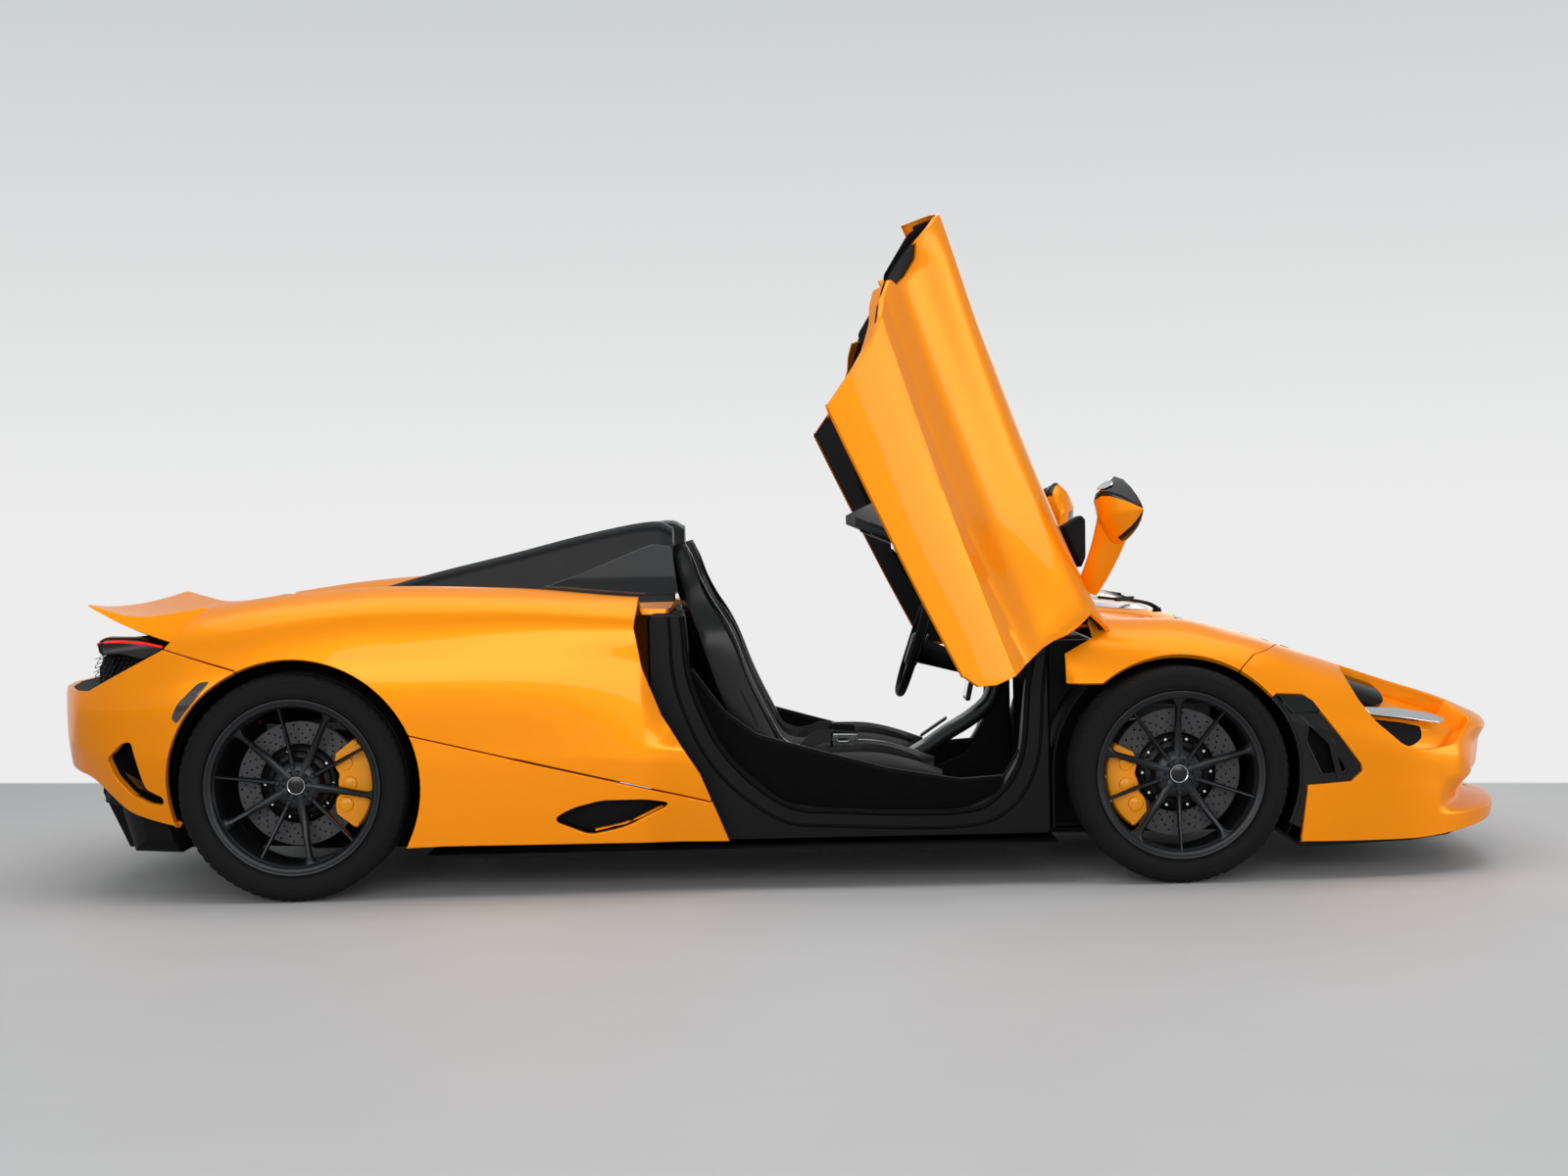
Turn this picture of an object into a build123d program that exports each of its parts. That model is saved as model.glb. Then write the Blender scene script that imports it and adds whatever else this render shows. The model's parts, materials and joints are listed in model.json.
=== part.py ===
"""Open-top mid-engined supercar, standing on its wheels with both dihedral doors open.

Frame: +X forward, +Y to the car's left, +Z up. The origin is on the ground, on the centre plane,
below the middle of the length. All sizes are in millimetres.
"""
from build123d import *
import os
from collections import namedtuple
from math import cos, hypot, radians, sin

# ---- driving dimensions ----
LENGTH = 4569.0
HALF_LENGTH = LENGTH / 2
WHEELBASE = 2670.0
FRONT_X = 1204.5                      # front axle
REAR_X = FRONT_X - WHEELBASE          # rear axle
FRONT_HUB_Y = 837.0                   # wheel centre plane from the centre plane, track 1674
REAR_HUB_Y = 814.5                    # track 1629
CLEARANCE = 112.0                     # underside of the flat floor
PANEL = 26.0                          # body panel with its inner structure
GAP = 5.0                             # shut gap between panels
DOOR_THICK = 62.0
DOOR_OPEN = 70.0                      # degrees from shut to fully open
HINGE_AT = (922.0, -700.0, 780.0)     # right door hinge axis
HINGE_ALONG = (-0.44, 1.0, 0.56)
STEER_INBOARD = 65.0                  # steering axis, inboard of the front wheel's centre plane
FRONT_ARCH = 361.0                    # wheel arch radius about the hub
REAR_ARCH = 385.0
ARCH_DEPTH = 545.0                    # wheel arches are open outboard of this
BONNET_BACK, BONNET_FRONT = 1345.0, 2060.0
BONNET_HALF_BACK, BONNET_HALF_FRONT = 489.0, 330.0
BONNET_SIDE_ROOM = 16.0               # beside its rear corners, which swing forward as it lifts
DECK_HALF = 600.0                     # rear deck between the quarter panels
DECK_FRONT, DECK_BACK = -335.0, -1735.0
SEAT_Y = 370.0
SEAT_HALF = 235.0
STEERING_AT = (470.0, 375.0, 655.0)   # middle of the steering wheel
STEERING_TILT = 18.0                  # its axis above the horizontal
PLATE_HOLES = ((-150.0, 346.0), (150.0, 346.0))       # y, z of the number plate's screws
PLATE_HOLE = 3.0                      # radius

os.makedirs("parts", exist_ok=True)


def save(part, name):
    """Label one finished piece and write it as the node of that name."""
    part.label = name
    export_step(part, f"parts/{name}.step")


# ---- body hull: one row per section along the car ----
Station = namedtuple("Station", "x top ridge crest shoulder flank waist sill floor")
HULL = (
    # x, top z, then (y, z) from the bonnet's edge out over the wing and down the side, floor z
    Station(2284.5, 428, (130, 426), (240, 418), (300, 398), (325, 330), (305, 250), (280, 170), 150),
    Station(2250.0, 447, (280, 442), (420, 436), (500, 410), (530, 335), (520, 250), (500, 128), 122),
    Station(2165.0, 483, (360, 474), (600, 470), (700, 436), (740, 360), (735, 255), (720, 116), 114),
    Station(2030.0, 532, (440, 518), (690, 527), (790, 485), (848, 390), (850, 265), (840, 114), CLEARANCE),
    Station(1850.0, 590, (500, 570), (720, 590), (850, 545), (912, 440), (915, 290), (905, 114), CLEARANCE),
    Station(1620.0, 660, (520, 640), (735, 672), (870, 628), (945, 520), (948, 310), (935, 116), CLEARANCE),
    Station(1400.0, 722, (530, 700), (745, 748), (885, 700), (955, 580), (955, 320), (940, 120), CLEARANCE),
    Station(1204.5, 768, (560, 740), (750, 790), (890, 722), (958, 600), (955, 330), (940, 124), CLEARANCE),
    Station(1000.0, 790, (620, 775), (745, 797), (880, 735), (940, 610), (940, 335), (925, 130), CLEARANCE),
    Station(780.0, 800, (650, 800), (742, 820), (850, 745), (895, 600), (915, 335), (898, 138), CLEARANCE),
    Station(400.0, 820, (670, 825), (752, 850), (830, 775), (858, 610), (905, 335), (888, 141), CLEARANCE),
    Station(0.0, 840, (690, 845), (775, 872), (850, 800), (872, 640), (910, 360), (892, 144), CLEARANCE),
    Station(-420.0, 860, (690, 862), (800, 892), (890, 832), (912, 680), (928, 400), (905, 150), CLEARANCE),
    Station(-820.0, 885, (600, 880), (780, 928), (905, 870), (950, 710), (950, 420), (930, 154), CLEARANCE),
    Station(-1180.0, 885, (600, 890), (775, 940), (910, 880), (965, 720), (965, 430), (945, 158), CLEARANCE),
    Station(REAR_X, 878, (600, 880), (762, 924), (905, 862), (965, 710), (965, 440), (940, 170), 120),
    Station(-1740.0, 862, (590, 862), (735, 890), (880, 830), (948, 680), (950, 450), (895, 210), 150),
    Station(-1960.0, 850, (560, 850), (700, 862), (845, 780), (905, 650), (905, 450), (840, 262), 200),
    Station(-2130.0, 840, (500, 838), (620, 832), (740, 740), (800, 640), (800, 470), (745, 380), 290),
    Station(-2235.0, 800, (360, 800), (450, 780), (520, 720), (560, 630), (560, 490), (520, 400), 350),
    Station(-HALF_LENGTH, 700, (150, 700), (210, 690), (250, 670), (280, 610), (280, 500), (250, 430), 420),
)


def ring(row, depth):
    """Corners of the right half of one hull section, drawn in along the skin's normal, as (y, z)."""
    half = [(0.0, row.top), row.ridge, row.crest, row.shoulder, row.flank, row.waist, row.sill,
            (0.0, row.floor)]
    corners = []
    for i, (y, z) in enumerate(half):
        y0, z0 = half[i - 1] if i else (-half[1][0], half[1][1])
        y1, z1 = half[i + 1] if i < len(half) - 1 else (-half[-2][0], half[-2][1])
        before, after = hypot(y - y0, z - z0), hypot(y1 - y, z1 - z)
        ny = (z - z0) / before + (z1 - z) / after
        nz = -(y - y0) / before - (y1 - y) / after
        reach = depth / ((z - z0) / before * ny - (y - y0) / before * nz)
        corners.append((-(y + ny * reach), z + nz * reach))
    return corners


def half_hull(depth):
    """Right half of the closed body form, drawn in by depth, past the centre plane if drawn in."""
    past = 2.0 if depth else 0.0
    with BuildPart() as form:
        for row in HULL:
            corners = ring(row, depth)
            top, floor = corners[0][1], corners[-1][1]
            with BuildSketch(Plane.YZ.offset(row.x * (1 - depth / HALF_LENGTH))):
                with BuildLine():
                    Polyline((past, top), *corners[1:-1], (past, floor), close=True)
                make_face()
        loft(ruled=True)
    return form.part


def front_cut(points, low_x, high_x):
    """Prism of an outline drawn in front view as (y, z), between two places along the car."""
    with BuildPart() as prism:
        with BuildSketch(Plane.YZ.offset(low_x)):
            with BuildLine():
                Polyline(*points, close=True)
            make_face()
        extrude(amount=high_x - low_x)
    return prism.part


def side_cut(points, low_y, high_y):
    """Prism of an outline drawn in side view as (x, z), between two distances from the centre."""
    with BuildPart() as prism:
        with BuildSketch(Plane.XZ.offset(-low_y)):
            with BuildLine():
                Polyline(*points, close=True)
            make_face()
        extrude(amount=low_y - high_y)
    return prism.part


def plan_cut(points, low_z, high_z):
    """Prism of an outline drawn in plan as (x, y), between two heights."""
    with BuildPart() as prism:
        with BuildSketch(Plane.XY.offset(low_z)):
            with BuildLine():
                Polyline(*points, close=True)
            make_face()
        extrude(amount=high_z - low_z)
    return prism.part


def block(low, high):
    """Box between two corners."""
    with BuildPart() as box:
        with Locations(tuple((a + b) / 2 for a, b in zip(low, high))):
            Box(*[b - a for a, b in zip(low, high)])
    return box.part


def rod(start, end, radius):
    """Round bar between two points."""
    along = Vector(*end) - Vector(*start)
    with BuildPart() as bar:
        with BuildSketch(Plane(origin=start, z_dir=along)):
            Circle(radius)
        extrude(amount=along.length)
    return bar.part


def fused(*parts):
    """One part made of several that touch or stand together."""
    with BuildPart() as whole:
        for part in parts:
            add(part)
    return whole.part


def pared(part, *cutters):
    """A part with others taken away."""
    with BuildPart() as rest:
        add(part)
        for cutter in cutters:
            add(cutter, mode=Mode.SUBTRACT)
    return rest.part


def shared(part, *keepers):
    """What a part has in common with each of the others."""
    with BuildPart() as common:
        add(part)
        for keeper in keepers:
            add(keeper, mode=Mode.INTERSECT)
    return common.part


def other_side(part):
    """The same piece on the left of the car."""
    with BuildPart() as twin:
        mirror(part, about=Plane.XZ)
    return twin.part


def arch_space(x, z, radius, side):
    """Room round one wheel, open outboard."""
    with BuildPart() as room:
        with BuildSketch(Plane.XZ.offset(-side * ARCH_DEPTH)):
            with Locations((x, z)):
                Circle(radius)
            with Locations((x, z - radius / 2)):
                Rectangle(2 * radius, radius)
        extrude(amount=-side * 600)
    return room.part


def loft_across(profile, shifts):
    """Solid through one side profile, moved (x, z) at each distance y from the centre plane."""
    with BuildPart() as form:
        for y, dx, dz in shifts:
            with BuildSketch(Plane.XZ.offset(-y)):
                with BuildLine():
                    Polyline(*[(x + dx, z + dz) for x, z in profile], close=True)
                make_face()
        loft(ruled=True)
    return form.part


def both(part):
    """A half and its mirror image, joined on the centre plane."""
    with BuildPart() as whole:
        add(part)
        mirror(part, about=Plane.XZ)
    return whole.part


# ---- body panels ----
QUARTER_EDGE = ((-154, 136), (-240, 357), (-352, 539), (-408, 683), (-430, 805), (-419, 960))
DOOR_FRONT_EDGE = ((945, 960), (945, 745), (853, 694), (845, 590), (800, 330), (790, 138))
WING_SHUT = ((-1740, 960), (-1740, 887), (-1855, 768), (-1623, 692))
FENDER = ((1204, 480), (953, 606), (866, 606), (866, 697), (953, 745), (953, 960), (1610, 960),
          (1610, 716), (1437, 686), (1393, 650))
NOSE = ((1204, 330), (1397, 646), (1440, 681), (1614, 711), (1614, 960), (2400, 960), (2400, 90),
        (1204, 90))
HEADLAMP = ((1724, 627), (1826, 631), (2013, 549), (2130, 459), (2050, 395), (1954, 384), (1906, 398),
            (1770, 548))
SIDE_VENT = ((1510, 565), (1598, 557), (1639, 527), (1740, 318), (1722, 295), (1600, 292))
SILL_INTAKE = ((-686, 230), (-626, 262), (-538, 283), (-400, 282), (-330, 270), (-400, 238), (-470, 205),
               (-575, 184))
REAR_VENT = ((-2034, 435), (-1985, 481), (-1961, 487), (-1935, 373), (-1871, 315), (-1871, 298),
             (-1966, 332))
WIDE = 1100.0                         # further out than any body panel

COWL_HOLE = ((700, -667), (1005, -667), (1005, -619), (1342, -619), (1342, 5), (700, 5))

right_outer = half_hull(0)
right_inner = half_hull(PANEL)
right_skin = pared(right_outer, right_inner)
front_arch = arch_space(FRONT_X, 327.0, FRONT_ARCH, -1)
rear_arch = arch_space(REAR_X, 345.5, REAR_ARCH, -1)

bonnet_plan = ((BONNET_BACK, -BONNET_HALF_BACK), (BONNET_FRONT, -BONNET_HALF_FRONT),
               (BONNET_FRONT, 1), (BONNET_BACK, 1))
bonnet_hole_plan = ((BONNET_BACK - GAP, -BONNET_HALF_BACK - BONNET_SIDE_ROOM),
                    (BONNET_FRONT + GAP, -BONNET_HALF_FRONT - GAP),
                    (BONNET_FRONT + GAP, 1), (BONNET_BACK - GAP, 1))
bonnet_hole = plan_cut(bonnet_hole_plan, 380, 960)

quarter_right = pared(
    shared(right_skin, side_cut(QUARTER_EDGE + WING_SHUT + ((REAR_X, 300), (-1115, 136)), -WIDE, -DECK_HALF)),
    rear_arch, side_cut(SILL_INTAKE, -WIDE, -860), block((-1100, -803, 90), (0, -500, 200)))
save(quarter_right, "rear_quarter_right")
save(other_side(quarter_right), "rear_quarter_left")

fender_right = pared(shared(right_skin, side_cut(FENDER, -WIDE, -300)), front_arch, bonnet_hole,
                     plan_cut(COWL_HOLE, 300, 960))
save(fender_right, "front_fender_right")
save(other_side(fender_right), "front_fender_left")

nose_half = pared(shared(right_skin, side_cut(NOSE, -WIDE, 1)), front_arch, bonnet_hole,
                  side_cut(HEADLAMP, -WIDE, -560), side_cut(SIDE_VENT, -WIDE, -800),
                  plan_cut(((700, -WIDE), (1560, -WIDE), (1560, 5), (700, 5)), 90, 250),
                  plan_cut(((700, -540), (1560, -540), (1560, 5), (700, 5)), 90, 960))
SPLITTER = ((2275, 5), (2268, -330), (2215, -560), (2130, -740), (1950, -860), (1640, -930), (1560, -935),
            (1560, 5))
splitter = plan_cut(SPLITTER, 100, 118)
plate_holes = [rod((2230, y, z), (HALF_LENGTH + 5, y, z), PLATE_HOLE) for y, z in PLATE_HOLES]
save(pared(both(fused(nose_half, splitter)), *plate_holes), "nose")

bonnet_half = shared(right_skin, plan_cut(bonnet_plan, 400, 960))
save(both(bonnet_half), "bonnet")

cowl_plan = ((1335, 5), (1335, -495), (1290, -614), (1002, -614), (1002, -662), (900, -662), (930, -600),
             (1180, -330), (1235, 5))
cowl_half = shared(right_skin, plan_cut(cowl_plan, 600, 960))

bay_half = pared(block((1390, -310, 330), (2000, 0, 660)), block((1400, -300, 340), (1990, 10, 800)))
save(both(shared(bay_half, half_hull(PANEL + 20))), "luggage_bay")

deck_plan = ((DECK_FRONT, 5), (DECK_FRONT, -DECK_HALF + GAP), (DECK_BACK, -DECK_HALF + GAP), (DECK_BACK, 5))
deck_half = shared(right_skin, plan_cut(deck_plan, 700, 960))
BUTTRESS = (
    # x, top z, outer y, inner y
    (-322, 1100, -575, -440),
    (-386, 1121, -582, -440),
    (-587, 1087, -592, -450),
    (-834, 1028, -594, -465),
    (-1081, 972, -594, -490),
    (-1330, 905, -590, -520),
)
with BuildPart() as buttress:
    for x, top, outer, inner in BUTTRESS:
        with BuildSketch(Plane.YZ.offset(x)):
            with BuildLine():
                Polyline((outer, 868), (outer + 6, top - 22), (outer + 26, top), (inner - 30, top - 4),
                         (inner, 868), close=True)
            make_face()
    loft(ruled=True)
save(both(fused(deck_half, buttress.part)), "rear_deck")

PANE = ((-752, 915), (-614, 960), (-460, 1022), (-386, 1050), (-325, 1042), (-306, 893), (-430, 893))
pane_right = side_cut(PANE, -640, -634)
save(fused(pane_right, other_side(pane_right)), "buttress_glass")

WING_PROFILE = ((-1750, 884), (-1900, 866), (-2020, 862), (-2085, 876), (-2117, 900), (-2126, 898),
                (-2100, 845), (-1862, 775))
save(loft_across(WING_PROFILE, ((-705, 0, 0), (-400, -58, 4), (0, -80, 6), (400, -58, 4), (705, 0, 0))),
     "rear_wing")

BUMPER = ((-1600, 500), (-1627, 688), (-1857, 762), (-2100, 643), (-2400, 640), (-2400, 330), (-2130, 330),
          (-2030, 250), (-1898, 205), (-1600, 205))
UNDER_BUMPER = ((-1400, 90), (-1845, 150), (-1885, 214), (-2112, 332), (-2170, 380), (-2170, 90))
bumper_half = pared(shared(right_skin, side_cut(BUMPER, -WIDE, 1)), rear_arch,
                    side_cut(REAR_VENT, -WIDE, -760), side_cut(UNDER_BUMPER, -806, 5),
                    block((-1840, -600, 100), (-1500, 5, 800)))
save(both(bumper_half), "rear_bumper")

DIFFUSER = ((-1480, 116), (-1860, 130), (-2150, 345), (-2150, 357), (-1856, 142), (-1480, 128))
FIN = ((-1700, 118), (-2060, 128), (-2140, 300), (-2140, 345), (-1860, 136))
DIFFUSER_END = ((-1860, 125), (-2012, 134), (-2060, 274), (-2110, 290), (-2110, 320), (-1900, 205))
floor_ramp = side_cut(DIFFUSER, -520, 520)
fins = [side_cut(FIN, y - 4, y + 4) for y in (-516, -260, 0, 260, 516)]
diffuser_end = side_cut(DIFFUSER_END, -800, -516)
save(fused(floor_ramp, *fins, diffuser_end, other_side(diffuser_end)), "diffuser")

TAIL_PANEL = ((-2072, 650), (-2098, 650), (-2085, 760), (-2060, 764))
PIPE_Y, PIPE_Z, PIPE = 215.0, 704.0, 44.0
pipe_holes = [rod((-2000, y, PIPE_Z), (-2200, y, PIPE_Z), PIPE + 6) for y in (-PIPE_Y, PIPE_Y)]
save(pared(side_cut(TAIL_PANEL, -640, 640), *pipe_holes), "rear_grille")
TAIL_LAMP = ((-1880, 745), (-1945, 706), (-2050, 732), (-2096, 744), (-2103, 784), (-2078, 800),
             (-1960, 790))
lamp_right = side_cut(TAIL_LAMP, -720, -645)
save(fused(lamp_right, other_side(lamp_right)), "tail_lamps")

pipes = [pared(rod((-1900, y, PIPE_Z), (-2175, y, PIPE_Z), PIPE),
               rod((-1940, y, PIPE_Z), (-2180, y, PIPE_Z), PIPE - 4)) for y in (-PIPE_Y, PIPE_Y)]
save(fused(*pipes), "exhausts")

lamp_body = shared(pared(right_inner, half_hull(80)), side_cut(HEADLAMP, -WIDE, -600))
save(fused(lamp_body, other_side(lamp_body)), "headlamps")

# ---- tub, floor and what stands in the cabin ----
SIDE_FRAME = ((-400, 136), (830, 136), (830, 770), (800, 785), (762, 595), (740, 386), (669, 267), (548, 216),
              (189, 224), (10, 251), (-166, 405), (-266, 617), (-286, 797), (-290, 850), (-400, 850))
SIDE_POCKET = ((-380, 170), (-380, 830), (-310, 830), (-290, 617), (-190, 395), (0, 232), (-60, 170))
BULKHEAD = ((-400, 126), (-280, 126), (-330, 822), (-400, 822))
DOOR_ROOM = ((-682, 1000), (-682, 762), (-792, 632), (-1000, 632), (-1000, 1000))
side_frame = pared(side_cut(SIDE_FRAME, -798, -645), side_cut(SIDE_POCKET, -780, -640),
                   front_cut(DOOR_ROOM, -500, 900))
tub_floor = block((-400, -798, 126), (830, 798, 148))
footwell = pared(block((826, -530, 126), (1000, 530, 735)), block((800, -510, 148), (984, 510, 800)))
toe_board = pared(block((812, -646, 126), (830, 646, 735)), block((700, -512, 148), (900, 512, 800)))
bulkhead = side_cut(BULKHEAD, -646, 646)
save(fused(tub_floor, side_frame, other_side(side_frame), bulkhead, footwell, toe_board), "tub")

FLOOR_PLAN = ((1555, -535), (1555, 535), (840, 535), (840, 880), (-1075, 880), (-1075, 535), (-1478, 535),
              (-1478, -535), (-1075, -535), (-1075, -880), (840, -880), (840, -535))
save(plan_cut(FLOOR_PLAN, 112, 126), "floor_pan")

save(block((-1250, -290, 190), (-560, 290, 640)), "engine")

SEAT = ((525, 250), (520, 345), (300, 305), (110, 285), (50, 330), (-130, 740), (-235, 980), (-262, 1075),
        (-300, 1080), (-322, 1000), (-225, 720), (-75, 300), (-40, 220), (60, 200), (480, 225))
seat = fused(side_cut(SEAT, -SEAT_Y - SEAT_HALF, -SEAT_Y + SEAT_HALF),
             block((50, -SEAT_Y - 180, 148), (450, -SEAT_Y + 180, 230)))
beside_head = [front_cut(((-SEAT_Y + s * 130, 1090), (-SEAT_Y + s * 150, 960), (-SEAT_Y + s * 240, 900),
                          (-SEAT_Y + s * 240, 1090)), -400, 0) for s in (-1, 1)]
seat = pared(seat, *beside_head)
save(fused(seat, other_side(seat)), "seats")

CONSOLE = ((-270, 148), (-270, 330), (100, 338), (456, 335), (712, 478), (760, 560), (806, 560), (806, 500),
           (740, 440), (640, 376), (524, 300), (524, 148))
save(side_cut(CONSOLE, -112, 112), "console")

DASH = ((980, 735), (730, 770), (650, 725), (665, 640), (820, 570), (980, 570))
tilt = radians(STEERING_TILT)
to_driver = (-cos(tilt), 0.0, sin(tilt))


def on_column(distance):
    """A point on the steering axis, so far towards the driver from the wheel's middle."""
    return tuple(c + distance * d for c, d in zip(STEERING_AT, to_driver))


dash_wide = shared(side_cut(DASH, -640, 640), block((600, -640, 500), (808, 640, 800)))
dash_deep = shared(side_cut(DASH, -505, 505), block((800, -505, 500), (980, 505, 800)))
save(fused(dash_wide, dash_deep, rod(on_column(-330), on_column(-45), 32)), "dashboard")

RIM_LINE, GRIP = 170.0, 15.0
with BuildPart() as steering_wheel:
    with BuildSketch(Plane.XZ):
        with Locations((RIM_LINE, 0)):
            Circle(GRIP)
    revolve(axis=Axis.Z)
    with BuildSketch(Plane.XY.offset(-12)):
        Circle(62)
        Rectangle(2 * RIM_LINE, 42)
        with Locations((0, -RIM_LINE / 2)):
            Rectangle(36, RIM_LINE)
    extrude(amount=20)
    with BuildSketch(Plane.XY.offset(-40)):
        Circle(30)
    extrude(amount=30)
steering_plane = Plane(origin=STEERING_AT, x_dir=(0, -1, 0), z_dir=to_driver)
save(steering_plane.location * steering_wheel.part, "steering_wheel")

# ---- windscreen ----
SCREEN = (
    # y at the base, y at the head, base x, base z, head x, head z
    (-660, -620, 925, 828, 300, 1096),
    (-450, -430, 1110, 800, 372, 1124),
    (0, 0, 1255, 782, 418, 1140),
    (450, 430, 1110, 800, 372, 1124),
    (660, 620, 925, 828, 300, 1096),
)


def screen_sheet(low, high, under, over):
    """Curved sheet along the windscreen, between two shares of its height, from under to over it."""
    with BuildPart() as sheet:
        for y0, y1, x0, z0, x1, z1 in SCREEN:
            corners = []
            for share, rise in ((low, under), (high, under), (high, over), (low, over)):
                corners.append((x0 + (x1 - x0) * share, z0 + (z1 - z0) * share + rise))
            y = y0 + (y1 - y0) * (low + high) / 2
            with BuildSketch(Plane.XZ.offset(-y)):
                with BuildLine():
                    Polyline(*corners, close=True)
                make_face()
        loft(ruled=True)
    return sheet.part


save(screen_sheet(0.02, 0.93, 0, 6), "windscreen")
header = screen_sheet(0.94, 1.08, -30, 4)
PILLAR = (
    # x, z, y, width, height
    (935, 808, -647, 58, 56),
    (620, 955, -640, 56, 48),
    (300, 1088, -620, 56, 46),
)
with BuildPart() as pillar:
    for x, z, y, wide, tall in PILLAR:
        with BuildSketch(Plane.YZ.offset(x)):
            with Locations((y, z)):
                Rectangle(wide, tall)
    loft(ruled=True)
screen_room = screen_sheet(0.015, 0.935, -0.5, 6.5)
screen_surround = fused(both(cowl_half), header, pillar.part, other_side(pillar.part))
save(pared(screen_surround, screen_room), "windscreen_frame")


# ---- wheels, brakes and suspension ----
Wheel = namedtuple("Wheel", "x hub_y tyre_r tyre_w rim_r barrel_r disc_r")
FRONT = Wheel(FRONT_X, FRONT_HUB_Y, 327.0, 245.0, 254.0, 229.0, 195.0)
REAR = Wheel(REAR_X, REAR_HUB_Y, 345.5, 295.0, 266.5, 241.5, 190.0)
FLANGE = 17.0                         # the bead flange's inner face, in from the tyre's side
SPINDLE = 35.0                        # its radius; the disc and rim turn on it
RUNNING = 0.05                        # radial clearance on the spindle
DISC_BACK, DISC_FRONT = -42.0, -10.0  # brake disc, outboard of the wheel's centre plane
RIM_SEAT = 20.0                       # back of the rim's hub
SPOKES = 5                            # wide ones, with as many thin ones between
RIM_DISH = ((0, 62), (60, 60), (120, 62), (235, 96), (400, 96))   # front of the spokes, (radius, outboard)
SPOKE_DEPTH = 24.0
BALL_HIGH, BALL_LOW = 160.0, -140.0   # ball joints above the hub
BALL_DEEP = -STEER_INBOARD            # and outboard of the wheel's centre plane
BALL_JOINT = 16.0                     # radius of its housing


def wheel_plane(wheel, side):
    """Plane at a wheel's middle, its z pointing outboard and its y up."""
    return Plane(origin=(wheel.x, side * wheel.hub_y, wheel.tyre_r), x_dir=(-side, 0, 0), z_dir=(0, side, 0))


def turned(points):
    """Solid of revolution of an outline drawn as (radius, outboard distance)."""
    with BuildPart() as solid:
        with BuildSketch(Plane.XZ):
            with BuildLine():
                Polyline(*points, close=True)
            make_face()
        revolve(axis=Axis.Z)
    return solid.part


def tyre(wheel):
    """Tyre about the origin, from bead over side wall and tread to the other bead."""
    half, bead = wheel.tyre_w / 2, wheel.rim_r - 12
    outside = [(bead, half - FLANGE - 0.5), (wheel.rim_r + 1.5, half - FLANGE - 0.5),
               (wheel.rim_r + 10, half - 4), (wheel.tyre_r - 40, half), (wheel.tyre_r - 14, half - 10),
               (wheel.tyre_r, half - 32)]
    inside = [(wheel.tyre_r - 15, half - 40), (bead + 14, half - 40)]
    outboard = outside + [(r, -z) for r, z in reversed(outside)]
    return turned(outboard + [(r, -z) for r, z in reversed(inside)] + inside)


def rim(wheel, wide_angle, thin_angle):
    """Rim about the origin: barrel with flanges, dished spokes and hub."""
    half, bead = wheel.tyre_w / 2, wheel.rim_r - 12.2
    barrel = turned([(wheel.rim_r, half - 8), (wheel.rim_r, half - FLANGE), (bead, half - FLANGE),
                     (bead, FLANGE - half), (wheel.rim_r, FLANGE - half), (wheel.rim_r, 8 - half),
                     (bead - 5, 14 - half), (wheel.barrel_r, 60 - half), (wheel.barrel_r, half - 34),
                     (bead - 8, half - 12)])
    dish = turned([(0, RIM_DISH[0][1])] + list(RIM_DISH[1:]) +
                  [(r, z - SPOKE_DEPTH) for r, z in reversed(RIM_DISH)])
    reach = wheel.barrel_r + 4
    with BuildPart() as star:
        with BuildSketch(Plane.XY):
            Circle(72)
            for i in range(SPOKES):
                turn = 360 / SPOKES * i
                with BuildLine(Plane.XY.rotated((0, 0, wide_angle + turn))):
                    Polyline((40, -22), (130, -20), (reach, -58), (reach, -34), (150, 0), (reach, 34),
                             (reach, 58), (130, 20), (40, 22), close=True)
                make_face()
                with BuildLine(Plane.XY.rotated((0, 0, thin_angle + turn))):
                    Polyline((40, -12), (reach, -8), (reach, 8), (40, 12), close=True)
                make_face()
        extrude(amount=140)
    bore = SPINDLE + RUNNING
    hub = turned([(bore, RIM_SEAT), (82, RIM_SEAT), (72, 50), (0, 50), (0, 34), (bore, 34)])
    return fused(barrel, shared(dish, star.part), hub)


def brake_disc(wheel):
    """Disc and bell about the origin."""
    bell = [(SPINDLE + RUNNING, RIM_SEAT), (SPINDLE + RUNNING, 8), (100, 8), (100, DISC_BACK)]
    rotor = [(wheel.disc_r, DISC_BACK), (wheel.disc_r, DISC_FRONT), (112, DISC_FRONT), (112, RIM_SEAT)]
    return turned(bell + rotor)


def caliper(wheel, middle_angle):
    """Brake caliper about the origin, over the disc's edge, its middle at an angle from +x."""
    clear, inner, outer = 5.0, 125.0, wheel.barrel_r - 8
    body = turned([(inner, DISC_BACK - 42), (outer, DISC_BACK - 42), (outer, 30), (inner, 30)])
    slot = turned([(inner - 1, DISC_BACK - clear), (wheel.disc_r + clear, DISC_BACK - clear),
                   (wheel.disc_r + clear, DISC_FRONT + clear), (inner - 1, DISC_FRONT + clear)])
    with BuildPart() as sector:
        with BuildSketch(Plane.XY.offset(-200)):
            with BuildLine(Plane.XY.rotated((0, 0, middle_angle))):
                Polyline((60, -60), (300, -190), (300, 190), (60, 60), close=True)
            make_face()
        extrude(amount=400)
    return shared(pared(body, slot), sector.part)


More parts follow.
